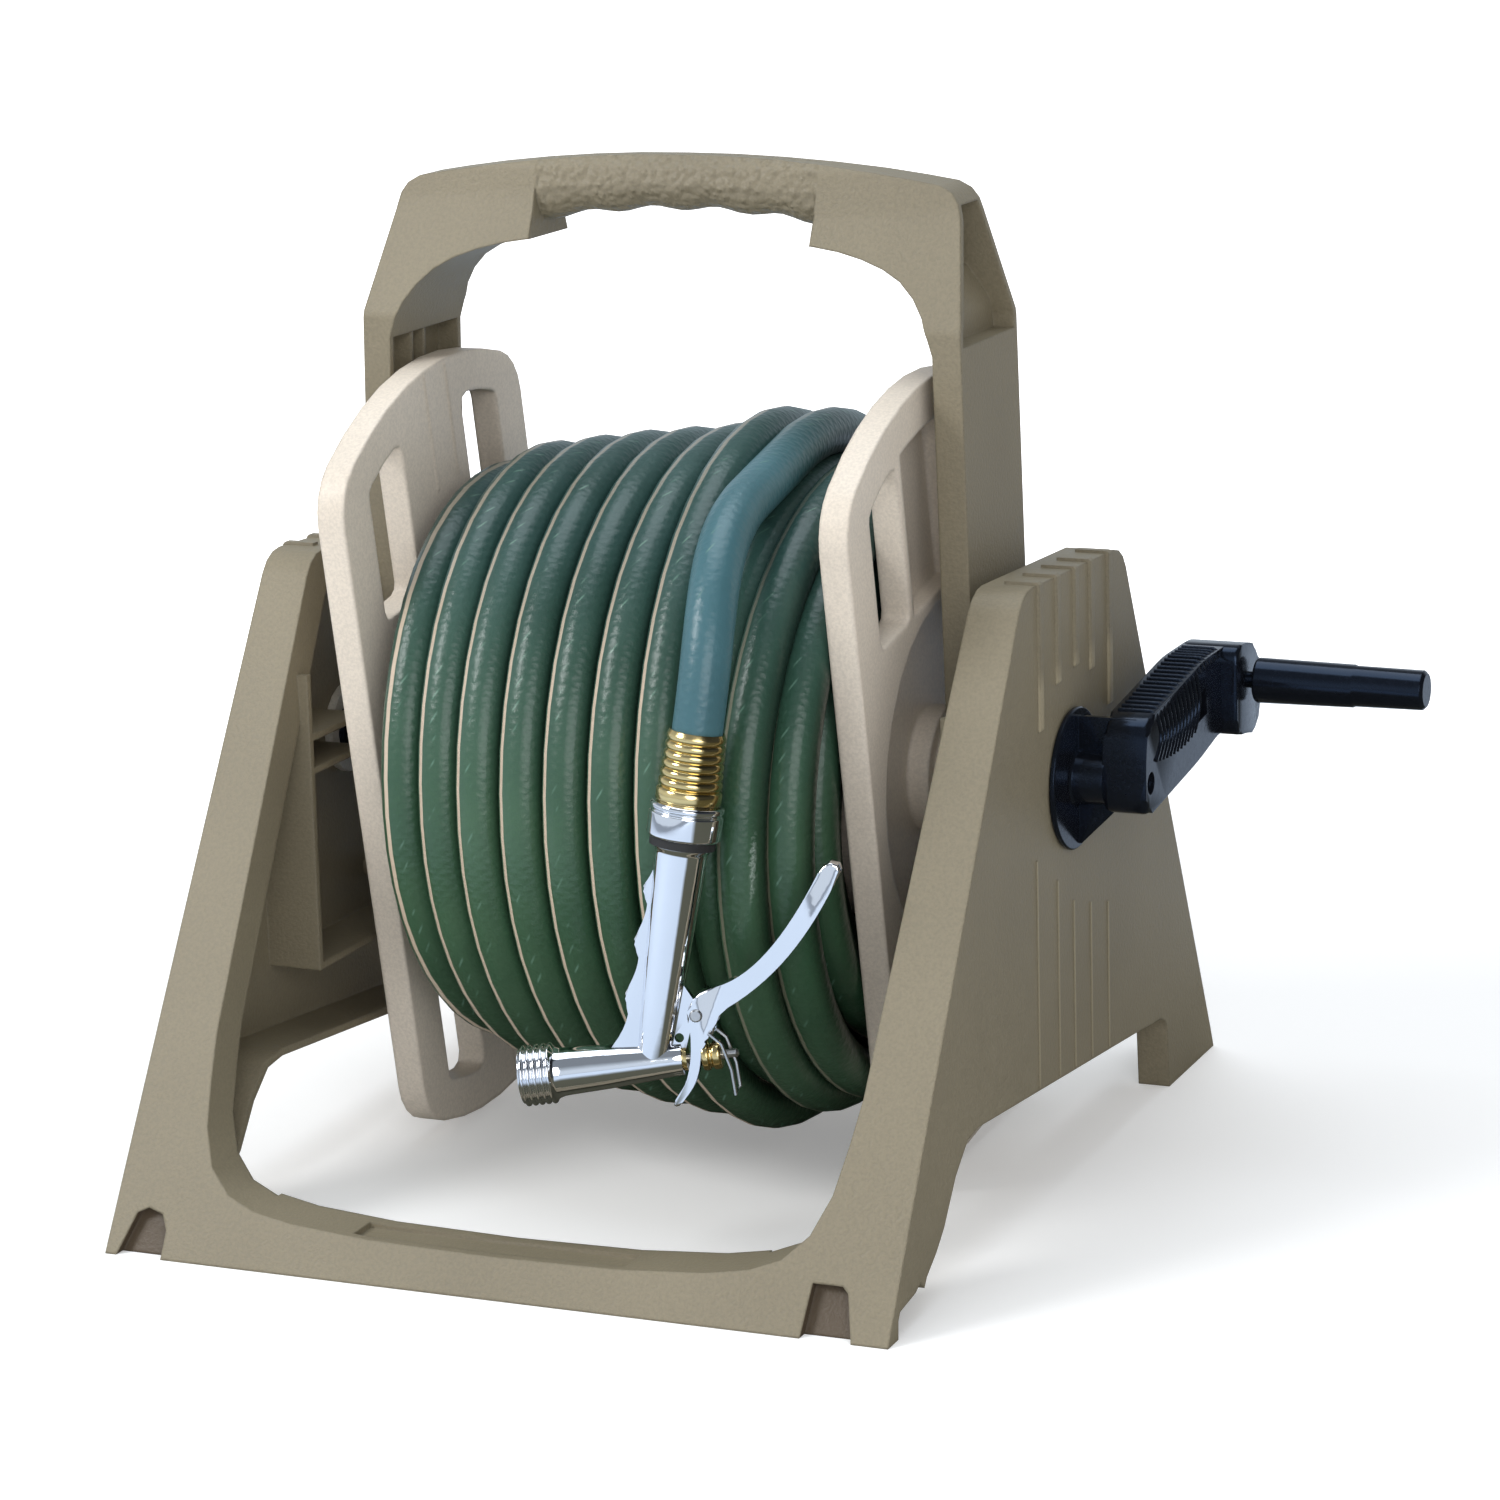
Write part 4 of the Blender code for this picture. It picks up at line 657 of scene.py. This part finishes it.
def ranged(tree, value, low, high, to_low=0.0, to_high=1.0):
    """The value as it goes from low to high, mapped to the other two and held beyond them."""
    limits = {"From Min": low, "From Max": high, "To Min": to_low, "To Max": to_high}
    made = node(tree, "ShaderNodeMapRange", **limits)
    made.clamp = True
    feed(tree, made.inputs["Value"], value)
    return made.outputs["Result"]


def past(tree, value, low, high):
    """Nought up to low, and one from high on."""
    return ranged(tree, value, low, high)


def short_of(tree, value, low, high):
    """One up to low, and nought from high on."""
    return ranged(tree, value, low, high, 1.0, 0.0)


def blended(tree, factor, first, second):
    """A colour between first and second. Either may be a colour or a socket."""
    made = node(tree, "ShaderNodeMix", data_type="RGBA")
    feed(tree, made.inputs["Factor"], factor)
    feed(tree, made.inputs[6], first)
    feed(tree, made.inputs[7], second)
    return made.outputs[2]


def maths(tree, operation, *values):
    """A Math node's result. Each value may be a number or a socket."""
    made = node(tree, "ShaderNodeMath", operation=operation)
    for socket, value in zip(made.inputs, values):
        feed(tree, socket, value)
    return made.outputs[0]


def product(tree, first, *others):
    for other in others:
        first = maths(tree, "MULTIPLY", first, other)
    return first


def distance(tree, value, middle):
    """How far the value lies from the middle, to either side."""
    return maths(tree, "ABSOLUTE", maths(tree, "SUBTRACT", value, middle))


def bumped(tree, shader, height, depth, edge=0.0):
    """Relief from the height. With an edge radius in metres, sharp corners also shade as rounded ones."""
    made = node(tree, "ShaderNodeBump", Strength=1.0, Distance=depth)
    feed(tree, made.inputs["Height"], height)
    if edge > 0:
        soft = node(tree, "ShaderNodeBevel", Radius=edge)
        soft.samples = 4
        feed(tree, made.inputs["Normal"], soft.outputs["Normal"])
    feed(tree, shader.inputs["Normal"], made.outputs["Normal"])


def moulded(name, colour, roughness, grain, depth, edge=0.0, overlay=None, raised=None):
    """Injection-moulded plastic: a fine spark-eroded grain, slow colour drift and uneven gloss.

    The optional overlay may lay painted shade and painted highlights over its colour, and raised() may add
    relief to its grain.
    """
    made, tree, shader = material_named(name, colour, roughness)
    where = coordinates(tree)
    drift = ranged(tree, noise(tree, where, 9.0, 2.0), 0.3, 0.7)
    dark = tuple(c * 0.94 for c in colour)
    light = tuple(min(1.0, c * 1.06) for c in colour)
    fine = noise(tree, where, grain, 2.0, 0.6)
    speckled = node(tree, "ShaderNodeVectorMath", operation="MULTIPLY")
    feed(tree, speckled.inputs[0], blended(tree, drift, dark, light))
    feed(tree, speckled.inputs[1], ranged(tree, fine, 0.35, 0.65, 0.93, 1.07))
    tinted = speckled.outputs["Vector"]
    feed(tree, shader.inputs["Base Color"], overlay(tree, tinted) if overlay else tinted)
    gloss = ranged(tree, fine, 0.3, 0.7, roughness - 0.05, roughness + 0.07)
    feed(tree, shader.inputs["Roughness"], gloss)
    bumped(tree, shader, raised(tree, where, fine) if raised else fine, depth, edge)
    return made


TAUPE_COLOUR = (0.236, 0.203, 0.137)
# Painted shade for the recessed hollows at the front feet
SCOOP_SHADE = (0.098, 0.070, 0.043)
# Painted highlight for the fine ribs on the outer sides
RIB_HIGHLIGHT = tuple(c * 1.5 for c in TAUPE_COLOUR)


def scoop_shade_area(tree):
    """One in the two foot hollows at the front, which take painted shade, nought elsewhere."""
    east, north, rise = parted(tree, coordinates(tree))
    front = maths(tree, "ADD", product(tree, rise, LEAN), FRONT * MM + BASE_MIDDLE.y)
    depth = maths(tree, "SUBTRACT", north, front)
    inside = product(tree, past(tree, depth, 0.0006, 0.0012), short_of(tree, depth, 0.010, 0.012))
    off = distance(tree, east, BASE_MIDDLE.x)
    foot = product(tree, past(tree, off, 0.1470, 0.1475), short_of(tree, off, 0.186, 0.187))
    return product(tree, inside, foot, short_of(tree, rise, 0.022, 0.023))


def rib_highlight_area(tree):
    """One on the fine ribs that stand off the outer sides, which take a painted highlight, nought elsewhere.
    """
    east, _, rise = parted(tree, coordinates(tree))
    proud = past(tree, distance(tree, east, BASE_MIDDLE.x), HALF * MM + 0.0002, HALF * MM + 0.0004)
    return product(tree, proud, short_of(tree, rise, 0.24, 0.25))


def grip_area(tree):
    """One on the carry grip between the shoulders, nought elsewhere."""
    east, _, rise = parted(tree, coordinates(tree))
    across = short_of(tree, distance(tree, east, BASE_MIDDLE.x), 0.0690, 0.0712)
    return product(tree, across, past(tree, rise, 0.434, 0.438))


def frame_shade_and_highlight(tree, colour):
    """The standing part's colour, with painted shade in the foot hollows and a painted highlight on the ribs.
    """
    return blended(tree, rib_highlight_area(tree), blended(tree, scoop_shade_area(tree), colour, SCOOP_SHADE), RIB_HIGHLIGHT)


def grip_pebbles(tree, where, fine):
    """The fine grain, with the leather-like pebbles of the carry grip."""
    cells = node(tree, "ShaderNodeTexVoronoi", Scale=290.0)
    cells.feature = "SMOOTH_F1"
    feed(tree, cells.inputs["Vector"], where)
    return maths(tree, "ADD", fine, product(tree, cells.outputs["Distance"], -5.5, grip_area(tree)))


def black_gloss():
    """The crank's polished black plastic, which mirrors a faintly blue sky, with a blue specular tint that
    paints its reflections bluer still.
    """
    made = moulded("black_gloss", (0.006, 0.007, 0.010), 0.15, 500.0, 0.00001, edge=0.0006)
    shader = made.node_tree.nodes["Principled BSDF"]
    shader.inputs["Specular IOR Level"].default_value = 0.4
    # Painted sheen: a blue tint on the reflections
    shader.inputs["Specular Tint"].default_value = (0.42, 0.62, 1.0, 1.0)
    return made


# The hose's colours. Each pair is what its wall drifts between. The two blue-green pairs are a painted sheen
# for the top and for the loose end.
HOSE_GREENS = ((0.030, 0.084, 0.043), (0.052, 0.120, 0.064))
SKY_SHEEN_TEALS = ((0.017, 0.050, 0.053), (0.032, 0.080, 0.088))
LOOSE_SHEEN_TEALS = ((0.045, 0.125, 0.150), (0.062, 0.160, 0.190))
# Painted shade: the near-black colour under the bundle, and the darker one between the turns
UNDERSIDE_SHADE, GAP_SHADE_COLOUR = (0.010, 0.013, 0.009), (0.003, 0.006, 0.004)
DASH_PALE, STRIPE_PALE = (0.16, 0.30, 0.23), (0.60, 0.49, 0.38)

# How many radians the braid's threads and the dashes over them go through, for a turn round the hose and
# for a metre along it
THREADS_ROUND, THREADS_ALONG = 50.27, 1200.0
DASHES_ROUND, DASHES_ALONG = 60.0, 620.0


def hose_wall(tree, where, round_it, rise, loose):
    """Green below, with a painted blue-green sheen on top and on the loose end, and painted shade: near black
    at the bottom and darker between the turns.
    """
    drift = ranged(tree, noise(tree, where, 14.0, 3.0), 0.3, 0.7)
    green = blended(tree, drift, *HOSE_GREENS)
    top_sheen = blended(tree, drift, *SKY_SHEEN_TEALS)
    loose_sheen = blended(tree, drift, *LOOSE_SHEEN_TEALS)
    # Painted sheen: the top of the bundle is mixed toward the blue-green colours, as light from a blue sky
    # would tint it
    wall = blended(tree, ranged(tree, rise, 0.19, 0.31, 0.0, 0.75), green, top_sheen)
    # Painted sheen: the loose end takes the lighter blue-green colours
    wall = blended(tree, loose, wall, loose_sheen)
    # Painted shade: the bottom of the bundle goes near black
    wall = blended(tree, ranged(tree, rise, 0.03, 0.13, 0.55, 1.0), UNDERSIDE_SHADE, wall)
    # Painted shade on each wound turn beyond a third of the way round from its stripe, where the turns lie in
    # each other's shade; the loose end has none
    between = ranged(tree, round_it, 0.23, 0.35, 0.0, 0.72)
    gap_shade = product(tree, between, maths(tree, "SUBTRACT", 1.0, loose))
    return blended(tree, gap_shade, wall, GAP_SHADE_COLOUR)


def hose_stripe(tree, round_it, east, rise, loose):
    """One on the pale stripe, less on the right and over the top, and nought on the loose end."""
    line = short_of(tree, maths(tree, "ABSOLUTE", round_it), 0.018, 0.024)
    right_side = ranged(tree, east, 0.0, 0.02, 1.0, 0.3)
    wound = maths(tree, "SUBTRACT", right_side, loose)
    return product(tree, line, wound, ranged(tree, rise, 0.25, 0.33, 1.0, 0.35))


def braid_dashes(tree, where, round_it, along):
    """Short slanting dashes beside the stripe, worn away in places."""
    slant = maths(tree, "ADD", product(tree, round_it, DASHES_ROUND), product(tree, along, DASHES_ALONG))
    ticks = past(tree, maths(tree, "SINE", slant), 0.82, 0.97)
    band = short_of(tree, distance(tree, round_it, 0.1), 0.012, 0.03)
    return product(tree, ticks, band, ranged(tree, noise(tree, where, 60.0, 2.0), 0.5, 0.62, 0.0, 0.5))


def braid_relief(tree, where, round_it, along):
    """The braid under the wall: two sets of threads that cross, with some roughness over them."""
    around, lift = product(tree, round_it, THREADS_ROUND), product(tree, along, THREADS_ALONG)
    threads = [maths(tree, "SINE", maths(tree, way, around, lift)) for way in ("ADD", "SUBTRACT")]
    braid = maths(tree, "MAXIMUM", *threads)
    return maths(tree, "ADD", product(tree, braid, 0.25), noise(tree, where, 350.0, 2.0))


def hose_vinyl():
    """Hose wall with one pale moulded stripe, and the braid under it showing faintly through."""
    made, tree, shader = material_named("hose_vinyl_green", (0.02, 0.08, 0.045), 0.34)
    place = node(tree, "ShaderNodeUVMap", uv_map="along")
    round_it, along, _ = parted(tree, place.outputs["UV"])
    where = coordinates(tree)
    east, _, rise = parted(tree, where)
    loose = past(tree, along, LOOSE_FROM - 0.05, LOOSE_FROM + 0.03)
    colour = hose_wall(tree, where, round_it, rise, loose)
    colour = blended(tree, braid_dashes(tree, where, round_it, along), colour, DASH_PALE)
    colour = blended(tree, hose_stripe(tree, round_it, east, rise, loose), colour, STRIPE_PALE)
    feed(tree, shader.inputs["Base Color"], colour)
    bumped(tree, shader, braid_relief(tree, where, round_it, along), 0.0002)
    return made


def metal(name, colour, roughness):
    """Bare or plated metal, with slow clouds in its colour and gloss and a faintly wavy surface."""
    made, tree, shader = material_named(name, colour, roughness, 1.0)
    where = coordinates(tree)
    cloud = noise(tree, where, 60.0)
    dark = tuple(c * 0.95 for c in colour)
    feed(tree, shader.inputs["Base Color"], blended(tree, cloud, dark, colour))
    feed(tree, shader.inputs["Roughness"], ranged(tree, cloud, 0.3, 0.7, roughness * 0.7, roughness * 1.4))
    bumped(tree, shader, noise(tree, where, 90.0, 2.0), 0.00008)
    return made


FINISH = {
    "taupe_plastic": moulded(
        "taupe_grained", TAUPE_COLOUR, 0.5, 620.0, 0.0003, edge=0.0016, overlay=frame_shade_and_highlight,
        raised=grip_pebbles,
    ),
    "beige_plastic": moulded("beige_satin", (0.72, 0.645, 0.55), 0.42, 700.0, 0.00006, edge=0.003),
    "black_plastic": black_gloss(),
    "natural_nylon": moulded("natural_nylon_satin", (0.62, 0.6, 0.54), 0.4, 700.0, 0.00004),
    "black_rubber": moulded("seal_rubber", (0.02, 0.02, 0.02), 0.65, 600.0, 0.00006),
    "hose_vinyl": hose_vinyl(),
    "brass": metal("brass_turned", (0.80, 0.62, 0.29), 0.16),
    "chrome": metal("chrome_plate", (0.86, 0.87, 0.9), 0.05),
    "zinc_steel": metal("zinc_plate", (0.58, 0.59, 0.6), 0.3),
}
SLOT_OF = {row["node"]: row["material_slot"] for row in frame["record"]["subparts"]}

# The CAD nodes whose edges are rounded, and how far in millimetres
ROUNDED = {"base_frame": 1.3, "handle": 1.3, "left_flange": 1.3, "right_flange": 1.3, "crank_arm": 0.8}
WELD_REACH = 0.00002


def smooth_by_angle():
    """A modifier's node group that shades faces smooth and keeps edges over 30 degrees sharp."""
    tree = bpy.data.node_groups.new("smooth_by_angle", "GeometryNodeTree")
    tree.interface.new_socket("Geometry", in_out="INPUT", socket_type="NodeSocketGeometry")
    tree.interface.new_socket("Geometry", in_out="OUTPUT", socket_type="NodeSocketGeometry")
    source = tree.nodes.new("NodeGroupInput")
    result = tree.nodes.new("NodeGroupOutput")
    faces = tree.nodes.new("GeometryNodeSetShadeSmooth")
    edges = tree.nodes.new("GeometryNodeSetShadeSmooth")
    edges.domain = "EDGE"
    edges.inputs["Shade Smooth"].default_value = False
    angle = tree.nodes.new("GeometryNodeInputMeshEdgeAngle")
    sharp = tree.nodes.new("FunctionNodeCompare")
    sharp.operation = "GREATER_THAN"
    sharp.inputs["B"].default_value = math.radians(30.0)
    tree.links.new(angle.outputs["Unsigned Angle"], sharp.inputs["A"])
    tree.links.new(source.outputs["Geometry"], faces.inputs["Geometry"])
    tree.links.new(faces.outputs["Geometry"], edges.inputs["Geometry"])
    tree.links.new(sharp.outputs["Result"], edges.inputs["Selection"])
    tree.links.new(edges.outputs["Geometry"], result.inputs["Geometry"])
    return tree


SMOOTHER = smooth_by_angle()


def paint(obj, finish):
    obj.data.materials.clear()
    obj.data.materials.append(FINISH[finish])


def dress(name):
    """Gives a CAD node its finish, rounds its edges where it has broad ones, and shades it smooth."""
    obj = NODES[name]
    paint(obj, SLOT_OF[name])
    weld = obj.modifiers.new("weld", "WELD")
    weld.merge_threshold = WELD_REACH
    if name in ROUNDED:
        edge = obj.modifiers.new("edges", "BEVEL")
        edge.width = ROUNDED[name] * MM
        edge.segments = 2
        edge.limit_method = "ANGLE"
        edge.angle_limit = math.radians(40.0)
        edge.use_clamp_overlap = True
        edge.harden_normals = False
    obj.modifiers.new("smooth", "NODES").node_group = SMOOTHER
    even = obj.modifiers.new("even", "WEIGHTED_NORMAL")
    even.keep_sharp = True


for made_piece, made_finish in FINISH_OF.items():
    paint(made_piece, made_finish)
for cad_node in NODES:
    dress(cad_node)

# The lamps, which all aim at one point: name, place, size, power and colour
WHITE = (1.0, 1.0, 1.0)
LIT_POINT = Vector((0.0, 0.0, 0.2))
LAMPS = [
    ("key", (-1.9, -1.8, 2.0), 1.2, 42.0, WHITE),
    ("fill", (1.5, -2.5, 1.2), 2.0, 27.0, WHITE),
    ("top", (-0.2, 0.3, 2.8), 2.4, 36.0, (0.86, 0.93, 1.0)),
]

# The studio that shiny surfaces mirror has one dark side, this way round from the front. The floor mirrors
# dark near the object and on that side of a place below the nozzle, and pale elsewhere.
DARK_SIDE = 1.75
BELOW_NOZZLE = -0.17
SKY_TINT = (0.78, 0.88, 1.0)
FLOOR_GREY, FLOOR_DARK, FLOOR_PALE = (0.86, 0.86, 0.86), (0.10, 0.10, 0.075), (0.62, 0.72, 0.86)
FLOOR_HALF = 9.0


def lamp(name, place, size, power, colour):
    data = bpy.data.lights.new(name, "AREA")
    data.shape = "DISK"
    data.size = size
    data.energy = power
    data.color = colour
    obj = bpy.data.objects.new(name, data)
    SCENE.collection.objects.link(obj)
    obj.location = place
    obj.rotation_mode = "QUATERNION"
    obj.rotation_quaternion = (LIT_POINT - Vector(place)).to_track_quat("-Z", "Y")


def off_dark_side(tree, east, toward_front):
    """How far round from the middle of the dark side a point lies, in radians."""
    return distance(tree, maths(tree, "ARCTAN2", east, toward_front), DARK_SIDE)


def reflected_studio(tree):
    """What shiny surfaces see round the object: a pale studio with one dark side and a dimmer top."""
    east, north, rise = parted(tree, node(tree, "ShaderNodeTexCoord").outputs["Generated"])
    off = off_dark_side(tree, east, product(tree, north, -1.0))
    return product(tree, ranged(tree, off, 0.70, 0.95, 0.06, 0.85), ranged(tree, rise, 0.25, 0.60, 1.0, 0.35))


def light_studio():
    """The lamps, and a world that shows white to the camera and the studio to shiny surfaces."""
    for row in LAMPS:
        lamp(*row)
    world = bpy.data.worlds.new("studio")
    SCENE.world = world
    world.use_nodes = True
    tree = world.node_tree
    sky = tree.nodes["Background"]
    path = node(tree, "ShaderNodeLightPath")
    shine = path.outputs["Is Glossy Ray"]
    feed(tree, sky.inputs["Color"], blended(tree, shine, WHITE, SKY_TINT))
    level = node(tree, "ShaderNodeMix", data_type="FLOAT")
    feed(tree, level.inputs[0], shine)
    feed(tree, level.inputs[2], ranged(tree, path.outputs["Is Camera Ray"], 0.0, 1.0, 0.45, 1.0))
    feed(tree, level.inputs[3], reflected_studio(tree))
    feed(tree, sky.inputs["Strength"], level.outputs[0])


def lay_floor():
    """A pale floor that shows white to the camera away from the object and keeps the object's shadow."""
    mesh = bpy.data.meshes.new("floor")
    corners = [(x * FLOOR_HALF, y * FLOOR_HALF, 0.0) for x, y in ((-1, -1), (1, -1), (1, 1), (-1, 1))]
    mesh.from_pydata(corners, [], [(0, 1, 2, 3)])
    floor = bpy.data.objects.new("floor", mesh)
    SCENE.collection.objects.link(floor)
    made, tree, shader = material_named("floor_white", FLOOR_GREY, 0.9)
    shader.inputs["Specular IOR Level"].default_value = 0.0
    path = node(tree, "ShaderNodeLightPath")
    where = coordinates(tree)
    length = node(tree, "ShaderNodeVectorMath", operation="LENGTH")
    feed(tree, length.inputs[0], where)
    away = length.outputs["Value"]
    east, north, _ = parted(tree, where)
    off = off_dark_side(tree, east, maths(tree, "SUBTRACT", BELOW_NOZZLE, north))
    pale = product(tree, past(tree, away, 0.36, 0.55), past(tree, off, 0.80, 1.0))
    mirrored = blended(tree, pale, FLOOR_DARK, FLOOR_PALE)
    seen = blended(tree, path.outputs["Is Glossy Ray"], FLOOR_GREY, mirrored)
    feed(tree, shader.inputs["Base Color"], seen)
    glow = product(tree, path.outputs["Is Camera Ray"], ranged(tree, away, 0.55, 1.5, 0.24, 1.2))
    feed(tree, shader.inputs["Emission Strength"], glow)
    shader.inputs["Emission Color"].default_value = (*WHITE, 1.0)
    floor.data.materials.append(made)


light_studio()
lay_floor()
SCENE.view_settings.view_transform = "Standard"
